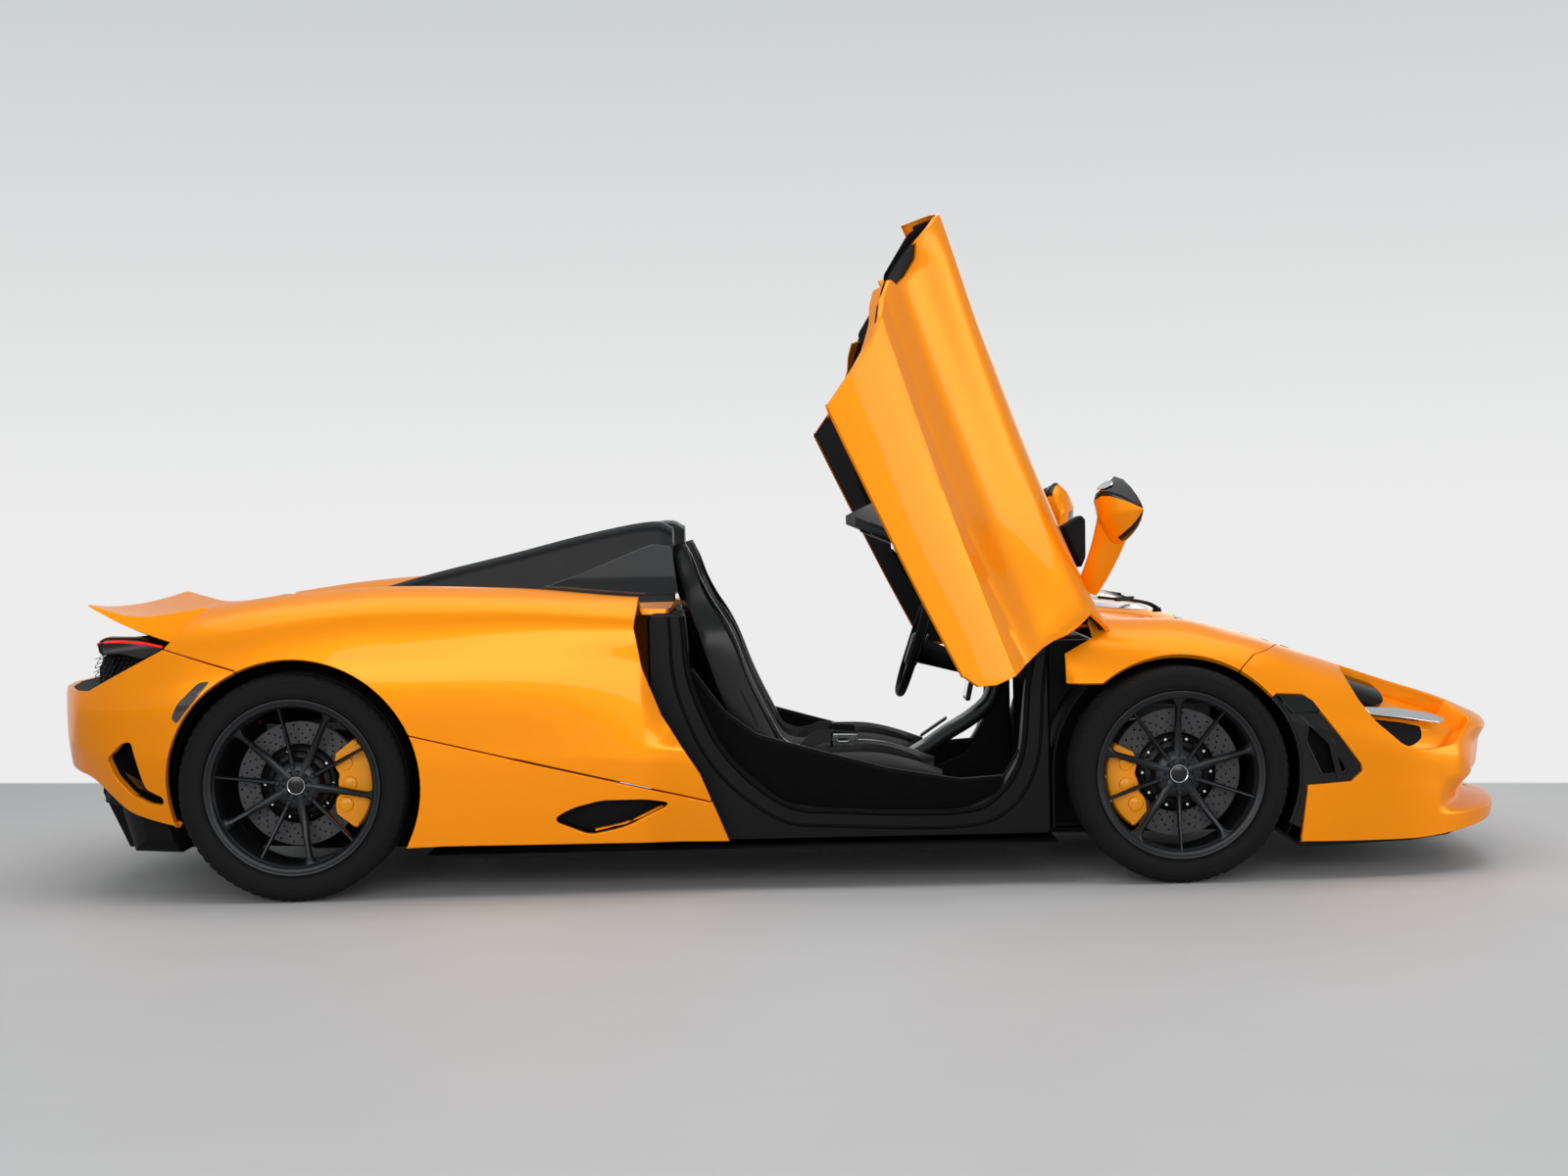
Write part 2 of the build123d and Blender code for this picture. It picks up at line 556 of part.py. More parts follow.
def upright(wheel, top, bottom):
    """Upright about the origin, with its spindle, from the upper to the lower ball joint."""
    spindle = turned([(0, DISC_BACK - 30), (SPINDLE, DISC_BACK - 30), (SPINDLE, 32), (0, 32)])
    ball_joints = [rod((0, top - 30, BALL_DEEP), (0, top, BALL_DEEP), BALL_JOINT),
                   rod((0, bottom, BALL_DEEP), (0, bottom + 30, BALL_DEEP), BALL_JOINT)]
    with BuildPart() as plate:
        with BuildSketch(Plane.XY.offset(DISC_BACK - 44)):
            with BuildLine():
                Polyline((-60, -70), (60, -70), (70, 60), (26, top), (-26, top), (-70, 60), close=True)
            make_face()
            with BuildLine():
                Polyline((-60, -50), (60, -50), (26, bottom), (-26, bottom), close=True)
            make_face()
        extrude(amount=30)
    return fused(spindle, plate.part, *ball_joints)


CORNERS = (
    # wheel, end of the car, angles of its wide spokes, thin spokes and caliper
    (FRONT, "front", 90, 54, 192),
    (REAR, "rear", 64, 28, 0),
)
for wheel, end, wide_angle, thin_angle, caliper_angle in CORNERS:
    right = wheel_plane(wheel, -1)
    for piece, name in ((tyre(wheel), "tyre"), (rim(wheel, wide_angle, thin_angle), "rim"),
                        (brake_disc(wheel), "disc"), (caliper(wheel, caliper_angle), "caliper"),
                        (upright(wheel, BALL_HIGH, BALL_LOW), "upright")):
        placed = right.location * piece
        if end == "rear" and name in ("caliper", "upright"):
            save(fused(placed, other_side(placed)), f"{name}s_rear")
        else:
            save(placed, f"{name}_{end}_right")
            save(other_side(placed), f"{name}_{end}_left")

ARM = 13.0
for wheel, end in ((FRONT, "front"), (REAR, "rear")):
    arms = []
    for height in (BALL_HIGH - 14, BALL_LOW + 14):
        ball = (wheel.x, wheel.hub_y + DISC_BACK - 60, wheel.tyre_r + height)
        for reach in (-150, 150):
            arms.append(rod((wheel.x + reach, 430, wheel.tyre_r + height * 0.8), ball, ARM))
    brace = block((wheel.x - 170, 405, 200), (wheel.x + 170, 435, 500))
    if end == "rear":
        shaft_end = wheel.hub_y + DISC_BACK - 46
        arms.append(rod((wheel.x, 285, wheel.tyre_r), (wheel.x, shaft_end, wheel.tyre_r), 18))
    half = fused(brace, *arms)
    with BuildPart() as carrier:
        add(half)
        mirror(half, about=Plane.XZ)
        add(block((wheel.x - 170, -410, 200), (wheel.x + 170, 410, 215)))
    save(carrier.part, f"suspension_{end}")

LINER = 5.0
liners = []
for wheel, end, radius in ((FRONT, "front", FRONT_ARCH + 7), (REAR, "rear", REAR_ARCH)):
    with BuildPart() as liner:
        with BuildSketch(Plane.XZ.offset(ARCH_DEPTH - LINER)):
            with Locations((wheel.x, wheel.tyre_r)):
                Circle(radius + LINER)
            with Locations((wheel.x, wheel.tyre_r - 100)):
                Rectangle(2 * radius + 2 * LINER, 200)
        extrude(amount=260)
        add(arch_space(wheel.x, wheel.tyre_r, radius - 1, -1), mode=Mode.SUBTRACT)
        add(block((-2500, -1000, -300), (2500, 0, 140)), mode=Mode.SUBTRACT)
        add(block((wheel.x - 175, -600, 150), (wheel.x + 175, 0, 520)), mode=Mode.SUBTRACT)
    right_liner = shared(liner.part, right_inner)
    liners += [right_liner, other_side(right_liner)]
save(fused(*liners), "arch_liners")


# ---- doors ----
HINGE = Axis(HINGE_AT, HINGE_ALONG)
door_plan = ((-690, 960), (-690, 770), (-800, 640), (-806, 420), (-812, 130), (-WIDE, 130), (-WIDE, 960))
door_outline = tuple((x + GAP, z) for x, z in QUARTER_EDGE) + tuple((x - GAP, z) for x, z in DOOR_FRONT_EDGE)
door_back = half_hull(DOOR_THICK)
door_skin = shared(pared(right_outer, door_back), side_cut(door_outline, -WIDE, -600),
                   front_cut(door_plan, -500, 1100))
wing_room = shared(half_hull(-GAP), block((945, -WIDE, 560), (1300, -600, 1000)))
swings = [wing_room.rotate(HINGE, -turn) for turn in (DOOR_OPEN, 58, 46, 34, 22)]
door_skin = pared(door_skin, front_arch, *swings)
TRIM = ((-255, 790), (-235, 620), (-140, 420), (20, 275), (190, 245), (540, 245), (650, 300), (715, 400),
        (735, 600), (770, 770))
door_trim = shared(pared(door_back, half_hull(DOOR_THICK + 30)), side_cut(TRIM, -WIDE, -600),
                   front_cut(((-690, 800), (-690, 740), (-730, 240), (-WIDE, 240), (-WIDE, 800)), -500, 1100))
MIRROR = ((530, 868), (545, 948), (590, 972), (650, 956), (700, 908), (690, 868), (610, 850))
mirror_head = side_cut(MIRROR, -1080, -900)
mirror_arm = rod((820, -795, 795), (690, -930, 900), 14)
mirror_right = fused(mirror_head, mirror_arm)
for piece, name in ((door_skin, "door_shell"), (door_trim, "door_trim"), (mirror_right, "mirror")):
    opened = piece.rotate(HINGE, DOOR_OPEN)
    save(opened, f"{name}_right")
    save(other_side(opened), f"{name}_left")
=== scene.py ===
"""Open-top supercar with its dihedral doors up: skin, glass, lamps, wheels and cabin around the frame."""

import json
import math
from collections import namedtuple

import bmesh
import bpy
import numpy as np
from mathutils import Matrix, Vector, geometry

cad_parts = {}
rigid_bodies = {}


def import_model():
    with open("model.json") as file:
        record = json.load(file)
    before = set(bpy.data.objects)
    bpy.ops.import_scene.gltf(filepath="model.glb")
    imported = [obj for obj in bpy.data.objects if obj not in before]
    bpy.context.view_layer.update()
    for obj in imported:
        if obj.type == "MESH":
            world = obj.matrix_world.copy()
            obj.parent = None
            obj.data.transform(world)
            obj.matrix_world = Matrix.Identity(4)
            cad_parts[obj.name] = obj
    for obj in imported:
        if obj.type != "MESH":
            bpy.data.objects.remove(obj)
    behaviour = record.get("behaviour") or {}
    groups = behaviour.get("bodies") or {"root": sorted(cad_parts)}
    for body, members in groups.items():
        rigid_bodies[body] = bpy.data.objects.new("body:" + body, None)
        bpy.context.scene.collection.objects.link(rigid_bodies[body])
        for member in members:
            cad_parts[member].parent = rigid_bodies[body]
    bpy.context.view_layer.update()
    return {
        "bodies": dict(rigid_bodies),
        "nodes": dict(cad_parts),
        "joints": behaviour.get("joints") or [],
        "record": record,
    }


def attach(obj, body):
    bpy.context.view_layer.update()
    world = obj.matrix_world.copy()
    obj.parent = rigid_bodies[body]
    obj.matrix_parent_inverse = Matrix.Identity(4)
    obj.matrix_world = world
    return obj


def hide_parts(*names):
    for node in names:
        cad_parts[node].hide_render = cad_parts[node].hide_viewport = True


bl_info = {
    "name": "Supercar with dihedral doors",
    "version": (1, 0, 0),
    "blender": (4, 5, 0),
    "location": "View3D > Sidebar > Supercar",
    "description": "Builds the visible pieces of an open-top supercar around its frame",
    "category": "Object",
}

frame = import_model()

MM = 0.001
FRONT_X, REAR_X = 1204.5, -1465.5           # axles, mm
FRONT_HUB_Y, REAR_HUB_Y = 837.0, 814.5      # wheel centre planes
FRONT_TYRE, REAR_TYRE = 327.0, 345.5        # tyre radii
FRONT_ARCH, REAR_ARCH = 361.0, 385.0        # arch radii about the hubs
HINGE_AT = Vector((922.0, -700.0, 780.0))   # right door's axis
HINGE_ALONG = Vector((-0.44, 1.0, 0.56))
DOOR_OPEN = 70.0
STEERING_AT = Vector((470.0, 375.0, 655.0))
STEERING_TILT = 18.0
HALF_LENGTH = 2284.5
CLEARANCE = 112.0

Station = namedtuple("Station", "x top ridge crest shoulder flank waist sill floor")
HULL = (
    # x, top z, then (y, z) from the bonnet's edge out over the wing and down the side, floor z
    Station(2284.5, 428, (130, 426), (240, 418), (300, 398), (325, 330), (305, 250), (280, 170), 150),
    Station(2250.0, 447, (280, 442), (420, 436), (500, 410), (530, 335), (520, 250), (500, 128), 122),
    Station(2165.0, 483, (360, 474), (600, 470), (700, 436), (740, 360), (735, 255), (720, 116), 114),
    Station(2030.0, 532, (440, 518), (690, 527), (790, 485), (848, 390), (850, 265), (840, 114), CLEARANCE),
    Station(1850.0, 590, (500, 570), (720, 590), (850, 545), (912, 440), (915, 290), (905, 114), CLEARANCE),
    Station(1620.0, 660, (520, 640), (735, 672), (870, 628), (945, 520), (948, 310), (935, 116), CLEARANCE),
    Station(1400.0, 722, (530, 700), (745, 748), (885, 700), (955, 580), (955, 320), (940, 120), CLEARANCE),
    Station(1204.5, 768, (560, 740), (750, 790), (890, 722), (958, 600), (955, 330), (940, 124), CLEARANCE),
    Station(1000.0, 790, (620, 775), (745, 797), (880, 735), (940, 610), (940, 335), (925, 130), CLEARANCE),
    Station(780.0, 800, (650, 800), (742, 820), (850, 745), (895, 600), (915, 335), (898, 138), CLEARANCE),
    Station(400.0, 820, (670, 825), (752, 850), (830, 775), (858, 610), (905, 335), (888, 141), CLEARANCE),
    Station(0.0, 840, (690, 845), (775, 872), (850, 800), (872, 640), (910, 360), (892, 144), CLEARANCE),
    Station(-420.0, 860, (690, 862), (800, 892), (890, 832), (912, 680), (928, 400), (905, 150), CLEARANCE),
    Station(-820.0, 885, (600, 880), (780, 928), (905, 870), (950, 710), (950, 420), (930, 154), CLEARANCE),
    Station(-1180.0, 885, (600, 890), (775, 940), (910, 880), (965, 720), (965, 430), (945, 158), CLEARANCE),
    Station(REAR_X, 878, (600, 880), (762, 924), (905, 862), (965, 710), (965, 440), (940, 170), 120),
    Station(-1740.0, 862, (590, 862), (735, 890), (880, 830), (948, 680), (950, 450), (895, 210), 150),
    Station(-1960.0, 850, (560, 850), (700, 862), (845, 780), (905, 650), (905, 450), (840, 262), 200),
    Station(-2130.0, 840, (500, 838), (620, 832), (740, 740), (800, 640), (800, 470), (745, 380), 290),
    Station(-2235.0, 800, (360, 800), (450, 780), (520, 720), (560, 630), (560, 490), (520, 400), 350),
    Station(-HALF_LENGTH, 700, (150, 700), (210, 690), (250, 670), (280, 610), (280, 500), (250, 430), 420),
)
CREASE = (0.0, 0.35, 0.15, 0.1, 0.1, 0.5, 0.9, 0.0)      # how sharp each feature line is, 0 round to 1
LINE_AT = (0.0, 560.0, 700.0, 850.0, 1000.0, 1270.0, 1460.0, 2360.0)   # feature lines laid out flat, mm
CREST, SILL = 2, 6                                       # feature lines by number
END_DEPTH = 280.0                                        # flat depth of an end face, edge to middle
END_MIDDLE = (530.0, 215.0)                              # z of the tail's and the nose's middle


# ---- the body's form ----
def slopes(xs, values):
    """Slopes of a curve through values that never overshoots them."""
    steps = [b - a for a, b in zip(xs, xs[1:])]
    secants = [(b - a) / h for a, b, h in zip(values, values[1:], steps)]
    result = [secants[0]]
    for a, b, ha, hb in zip(secants, secants[1:], steps, steps[1:]):
        if a * b <= 0:
            result.append(0.0)
        else:
            wa, wb = 2 * hb + ha, hb + 2 * ha
            result.append((wa + wb) / (wa / a + wb / b))
    return result + [secants[-1]]


def hermite(a, b, ta, tb, t):
    """Cubic from a to b with end slopes ta and tb."""
    t2, t3 = t * t, t * t * t
    return a * (2 * t3 - 3 * t2 + 1) + ta * (t3 - 2 * t2 + t) + b * (3 * t2 - 2 * t3) + tb * (t3 - t2)


def halved(low, high, before):
    """The place between low and high up to which a test holds."""
    for _ in range(26):
        middle = (low + high) / 2
        low, high = (middle, high) if before(middle) else (low, middle)
    return low


class Form:
    """The body's outer surface: smooth along the car between sections, creased where its lines are."""

    def __init__(self, rows):
        rows = sorted(rows, key=lambda row: row.x)
        self.x = [row.x for row in rows]
        self.lines = []
        for column in range(8):
            pair = []
            for axis in (0, 1):
                values = [self.corner(row, column)[axis] for row in rows]
                pair.append((values, slopes(self.x, values)))
            self.lines.append(pair)
        self.u = [0.0]
        for a, b in zip(rows, rows[1:]):
            gaps = [math.dist((a.x, *self.corner(a, c)), (b.x, *self.corner(b, c))) for c in (2, 3, 4)]
            self.u.append(self.u[-1] + sum(gaps) / 3)
        self.sections = {}

    @staticmethod
    def corner(row, column):
        if column == 0:
            return 0.0, row.top
        if column == 7:
            return 0.0, row.floor
        return row[column + 1]

    def u_of(self, x):
        return float(np.interp(x, self.x, self.u))

    def x_of(self, u):
        return float(np.interp(u, self.u, self.x))

    def section(self, x):
        """Feature points of the section at x, as (y, z)."""
        key = round(x, 2)
        if key not in self.sections:
            i = min(max(int(np.searchsorted(self.x, x)) - 1, 0), len(self.x) - 2)
            h = self.x[i + 1] - self.x[i]
            t = (x - self.x[i]) / h
            self.sections[key] = [
                tuple(hermite(v[i], v[i + 1], m[i] * h, m[i + 1] * h, t) for v, m in pair)
                for pair in self.lines]
        return self.sections[key]

    def raw(self, x, s):
        """(y, z) at x, s feature lines round the section."""
        points = self.section(x)
        s = min(max(s, 0.0), 7.0)
        i = min(int(s), 6)
        ends = []
        for j in (i, i + 1):
            here = points[j]
            before = points[j - 1] if j else (-points[1][0], points[1][1])
            after = points[j + 1] if j < 7 else (-points[6][0], points[6][1])
            d0, d1 = math.dist(before, here), math.dist(here, after)
            span = math.dist(points[i], points[i + 1])
            tangent = []
            for k in (0, 1):
                a, b = (here[k] - before[k]) / d0, (after[k] - here[k]) / d1
                smooth = (a * d1 + b * d0) / (d0 + d1)
                tangent.append((smooth + ((b if j == i else a) - smooth) * CREASE[j]) * span)
            ends.append(tangent)
        return tuple(hermite(points[i][k], points[i + 1][k], ends[0][k], ends[1][k], s - i) for k in (0, 1))

    def at(self, u, v):
        """Point in millimetres on the right side at the flat place (u, v), on an end face past the ends."""
        x, s = self.x_of(u), float(np.interp(v, LINE_AT, range(8)))
        y, z = self.raw(x, s)
        past = max(-u, u - self.u[-1], 0.0)
        if past:
            share = min(past / END_DEPTH, 1.0)
            y, z = y * (1 - share), z + (END_MIDDLE[x > 0] - z) * share
        return sculpt(Vector((x, -y, z)))

    def normal(self, u, v):
        """Outward unit normal there."""
        du = self.at(u + 1.5, v) - self.at(u - 1.5, v)
        dv = self.at(u, min(v + 1.5, 2359.0)) - self.at(u, max(v - 1.5, 0.0))
        n = dv.cross(du)
        return n.normalized() if n.length > 1e-9 else Vector((0, 0, 1))

    def on_side(self, x, z):
        """Flat place of a point seen from the side."""
        return self.on_line(x, halved(float(CREST), float(SILL), lambda s: self.raw(x, s)[1] > z))

    def on_top(self, x, y):
        """Flat place of a point seen from above, inboard of the widest line."""
        return self.on_line(x, halved(0.0, 3.6, lambda s: self.raw(x, s)[0] < y))

    def on_end(self, y, z, front):
        """Flat place of a point on the nose's or the tail's end face."""
        x, middle = self.x[-1] if front else self.x[0], END_MIDDLE[front]

        def turn(s):
            edge_y, edge_z = self.raw(x, s)
            return math.atan2(edge_y, edge_z - middle)

        angle = math.atan2(y, z - middle)
        low = halved(0.0, 7.0, lambda s: turn(s) < angle)
        edge_y, edge_z = self.raw(x, low)
        past = END_DEPTH * (1 - math.hypot(y, z - middle) / math.hypot(edge_y, edge_z - middle))
        past = max(past, 0.0)
        v = LINE_AT[-1] if low > 6.9999 else self.on_line(x, low)[1] if low > 1e-4 else 0.0
        return (self.u[-1] + past if front else -past), v

    def on_line(self, x, line):
        """Flat place on one of the feature lines."""
        return self.u_of(x), float(np.interp(line, range(8), LINE_AT))


def bump(t):
    """Smooth hill, 1 at t = 0 and 0 from t = 1 on."""
    t = min(abs(t), 1.0)
    return (1 - t * t) ** 2


def eased(t):
    """0 to 1 with no corner at either end."""
    t = min(max(t, 0.0), 1.0)
    return t * t * (3 - 2 * t)


DOOR_CREASE = ((-270.0, 436.0), (795.0, 296.0))          # (x, z) of the sharp line along the door
CHANNEL_DEPTH, SILL_TUCK = 34.0, 0.07


def crease_z(x):
    """Height of the door's sharp line."""
    (x0, z0), (x1, z1) = DOOR_CREASE
    return z0 + (z1 - z0) * (x - x0) / (x1 - x0)


NOSE_CHANNEL = (218.0, 40.0, 84.0, 104.0)                # its middle height, reach below and above, and depth
PLATE_SET, NOSE_LEAN = 4.0, 20.0                  # how far the nose is set in behind its plate, and leans
NOSE_FROM, LIP_FROM = 1985.0, 1900.0                     # where the nose's channel and its raised lip begin


def sculpt(p):
    """The nose's channel and lip, and the door's channel and tucked-in sill, worked into the plain form."""
    if p.x > LIP_FROM:
        middle, below, above, depth = NOSE_CHANNEL
        along = eased((p.x - NOSE_FROM) / 190)
        dent = bump((p.z - middle) / (above if p.z > middle else below)) * along * depth
        aside = eased((abs(p.y) - 200) / 400)
        narrow = 120 * eased((p.x - 2060) / 170) * eased((p.z - 215) / 60) * eased((450 - p.z) / 80)
        inwards = min(dent * 0.8 * aside + narrow * min(1.0, abs(p.y) / 420), abs(p.y))
        rise = 34 * eased((p.x - LIP_FROM) / 380) * min(1.0, max(0.0, (210 - p.z) / 90))
        flat = PLATE_SET + NOSE_LEAN * eased((430 - p.z) / 130)
        flat *= eased((p.x - 2110) / 90) * eased((p.z - 180) / 60) * eased((490 - p.z) / 60)
        return p + Vector((-dent * (1 - 0.55 * aside) - flat, inwards, rise))
    if not -425 < p.x < 905 or p.z > 860:
        return p
    fade = eased((p.x + 425) / 120) * eased((905 - p.x) / 80)
    low = crease_z(p.x)
    if p.z < low:
        return p + Vector((0, (low - p.z) * SILL_TUCK * fade, 0))
    high = 760 + 0.06 * (400 - p.x)
    q = (p.z - low) / (high - low)
    if q > 1:
        return p
    rise, fall = 0.56 + 0.44 * eased((q - 0.14) / 0.3), 1 - eased((q - 0.44) / 0.56)
    share = 4.0 * q if q < 0.14 else rise if q < 0.44 else fall
    return p + Vector((0, CHANNEL_DEPTH * share * fade, 0))


body = Form(HULL)


def dense(points, step=14.0, closed=False):
    """A polyline with points no further apart than step."""
    result = []
    pairs = list(zip(points, points[1:])) + ([(points[-1], points[0])] if closed else [])
    for a, b in pairs:
        n = max(1, int(math.dist(a, b) / step + 0.5))
        result += [tuple(p + (q - p) * i / n for p, q in zip(a, b)) for i in range(n)]
    return result if closed else result + [points[-1]]


def side(points):
    """Outline points drawn in side view, as flat places."""
    return [body.on_side(x, z) for x, z in dense(points)]


def top(points):
    """Outline points drawn in plan, as flat places."""
    return [body.on_top(x, y) for x, y in dense(points)]


def line(low_x, high_x, number):
    """Points along a feature line, as flat places."""
    return [body.on_line(x, number) for x, _ in dense([(low_x, 0.0), (high_x, 0.0)])]


def end(points, front):
    """Outline points drawn on an end face (y, z), as flat places."""
    return [body.on_end(y, z, front) for y, z in dense(points)]


def arc(x, z, radius, start, end, step=4.0):
    """Points of an arc in side view, angles in degrees from +X up."""
    n = max(2, int(abs(end - start) / step))
    turns = [math.radians(start + (end - start) * i / n) for i in range(n + 1)]
    return [(x + radius * math.cos(a), z + radius * math.sin(a)) for a in turns]


def rounded(points, radius, count=5):
    """A closed outline with its corners rounded."""
    result = []
    for i, corner in enumerate(points):
        before, after = points[i - 1], points[(i + 1) % len(points)]
        reach_in = min(radius, math.dist(corner, before) / 2.2)
        reach_out = min(radius, math.dist(corner, after) / 2.2)
        a = [c + (b - c) * reach_in / math.dist(corner, before) for c, b in zip(corner, before)]
        b = [c + (d - c) * reach_out / math.dist(corner, after) for c, d in zip(corner, after)]
        for k in range(count + 1):
            t = k / count
            result.append(tuple(p * (1 - t) ** 2 + 2 * c * t * (1 - t) + q * t * t for p, c,
                                q in zip(a, corner, b)))
    return result


class Shape:
    """Vertices in millimetres, faces and, where known, vertex normals."""

    def __init__(self, verts=(), faces=(), normals=(), marks=()):
        self.verts, self.faces = list(verts), list(faces)
        self.normals, self.marks = list(normals), list(marks)

    def add(self, verts, faces, normals=None):
        base = len(self.verts)
        self.verts += [Vector(v) for v in verts]
        self.normals += list(normals) if normals else [Vector((0, 0, 0))] * len(verts)
        self.faces += [tuple(base + i for i in f) for f in faces]
        self.marks += [0] * len(faces)
        return self

    def join(self, other):
        base = len(self.verts)
        self.verts += other.verts
        self.normals += other.normals
        self.faces += [tuple(base + i for i in f) for f in other.faces]
        self.marks += other.marks
        return self

    def moved(self, matrix):
        turn = matrix.to_3x3()
        return Shape([matrix @ v for v in self.verts], self.faces, [turn @ n for n in self.normals],
                     self.marks)

    def mirrored(self):
        """The same shape on the left."""
        left = self.moved(Matrix.Diagonal((1, -1, 1, 1)))
        left.faces = [f[::-1] for f in left.faces]
        return left

    def paired(self):
        """The shape with its twin on the left."""
        return self.join(self.mirrored())

    def both(self):
        """Right half and left half, sharing the vertices on the centre plane."""
        result, left, twin = Shape(self.verts, self.faces, self.normals, self.marks), self.mirrored(), {}
        for i, v in enumerate(self.verts):
            twin[i] = i if abs(v.y) < 1e-3 else len(result.verts)
            if twin[i] != i:
                result.verts.append(left.verts[i])
                result.normals.append(left.normals[i])
        result.faces += [tuple(twin[i] for i in f) for f in left.faces]
        result.marks += self.marks
        return result


def inside(loop, points):
    """Which points lie inside a closed loop."""
    loop = np.asarray(loop)
    x, y = points[:, 0:1], points[:, 1:2]
    x0, y0 = loop[:, 0], loop[:, 1]
    x1, y1 = np.roll(x0, -1), np.roll(y0, -1)
    crosses = (y0 > y) != (y1 > y)
    with np.errstate(divide="ignore", invalid="ignore"):
        at = x0 + (y - y0) * (x1 - x0) / (y1 - y0)
    return (np.sum(crosses & (x < at), axis=1) % 2) == 1


def clear_of(loop, points, gap):
    """Which points keep a gap from a closed loop."""
    loop = np.asarray(loop)
    nxt = np.roll(loop, -1, axis=0)
    keep = np.ones(len(points), bool)
    for a, b in zip(loop, nxt):
        d = b - a
        t = np.clip(((points - a) @ d) / max(d @ d, 1e-9), 0, 1)
        keep &= np.linalg.norm(points - a - t[:, None] * d, axis=1) > gap
    return keep


def area_of(loop):
    """Twice the area of a closed 2-D loop, below 0 when it runs clockwise."""
    return sum(a[0] * b[1] - b[0] * a[1] for a, b in zip(loop, loop[1:] + loop[:1]))


def shrunk(loop, distance, least=0.4):
    """A closed 2-D loop moved inwards, a sharp corner by no more than the distance over the least share."""
    turn = math.copysign(1.0, area_of(loop))
    result = []
    for i, p in enumerate(loop):
        ways = []
        for a, b in ((loop[i - 1], p), (p, loop[(i + 1) % len(loop)])):
            length = math.dist(a, b) or 1.0
            ways.append(((a[1] - b[1]) * turn / length, (b[0] - a[0]) * turn / length))
        mean = ways[0][0] + ways[1][0], ways[0][1] + ways[1][1]
        size = math.hypot(*mean) or 1.0
        share = max(least, (mean[0] * ways[0][0] + mean[1] * ways[0][1]) / size)
        result.append(tuple(c + m / size * distance / share for c, m in zip(p, mean)))
    return result


def inset(loop, distance):
    """A closed loop of flat places moved inwards, except along the centre plane."""
    kept = [p for i, p in enumerate(loop) if math.dist(p, loop[i - 1]) > 0.8]
    return [(u, p[1] if p[1] <= 0.0 or p[1] >= LINE_AT[-1] else v)
            for p, (u, v) in zip(kept, shrunk(kept, distance, 0.45))]


def triangulated(loops, reach, bend=(), spots=()):
    """Points, and each triangle with its middle, inside the first closed loop and outside the others."""
    points, edges = [], []
    for chain, closed in [(loop, True) for loop in loops] + [(bend, False)] * bool(bend):
        base, count = len(points), len(chain)
        points += [Vector(p) for p in chain]
        edges += [(base + i, base + (i + 1) % count) for i in range(count if closed else count - 1)]
    flat, _, tris, *_ = geometry.delaunay_2d_cdt(points + [Vector(p) for p in spots], edges, [], 0, reach)
    middles = np.array([[sum(flat[i].x for i in t) / 3, sum(flat[i].y for i in t) / 3] for t in tris])
    good = inside(loops[0], middles)
    for loop in loops[1:]:
        good &= ~inside(loop, middles)
    return flat, [(t, middle) for t, middle, fine in zip(tris, middles, good) if fine]


def patch(outline, holes=(), step=22.0, depth=18.0, roll=2.5, gap=3.0, lift=0.0, crease=()):
    """Sheet of the body's surface inside an outline of flat places, its edges rolled in to a depth.

    Along a crease, a line of flat places, the shading turns sharply.
    """
    edge_room = (roll if depth else 0.0) + gap / 2
    loops = [inset(outline, edge_room)] + [inset(hole, -edge_room) for hole in holes]
    (u0, v0), (u1, v1) = np.min(loops[0], axis=0), np.max(loops[0], axis=0)
    grid = np.array([(u, v) for k, v in enumerate(np.arange(v0, v1, step * 0.87))
                     for u in np.arange(u0 + (k % 2) * step / 2, u1, step)]).reshape(-1, 2)
    keep = inside(loops[0], grid)
    for loop in loops + [crease + crease[-2:0:-1]] * bool(crease):
        keep &= clear_of(loop, grid, step * 0.55)
    for loop in loops[1:]:
        keep &= ~inside(loop, grid)
    flat, found = triangulated(loops, 1e-3, crease, grid[keep])
    bend = list(zip(*sorted(crease)))
    shape, number, kept, flat_tris = Shape(), {}, [], []
    for t, middle in found:
        above = bool(bend) and middle[1] > np.interp(middle[0], *bend)
        corners = []
        for i in t:
            p = flat[i]
            on_crease = bool(bend) and abs(p.y - np.interp(p.x, *bend)) < 0.4
            key = (i, above) if on_crease else (i, None)
            if key not in number:
                number[key] = len(number)
                near = (p.x + (middle[0] - p.x) * 0.2, p.y + (middle[1] - p.y) * 0.2) if on_crease else p
                n = body.normal(*near)
                shape.add([body.at(*p) + n * lift], [], [n])
            corners.append(number[key])
        kept.append(tuple(corners))
        flat_tris.append(tuple(t))
    corners = kept[len(kept) // 2]
    a, b, c = (shape.verts[i] for i in corners)
    if (b - a).cross(c - a).dot(shape.normals[corners[0]]) < 0:
        kept, flat_tris = [t[::-1] for t in kept], [t[::-1] for t in flat_tris]
    shape.faces, shape.marks = kept, [0] * len(kept)
    if depth:
        add_edges(shape, list(kept), flat_tris, depth, roll)
    return shape


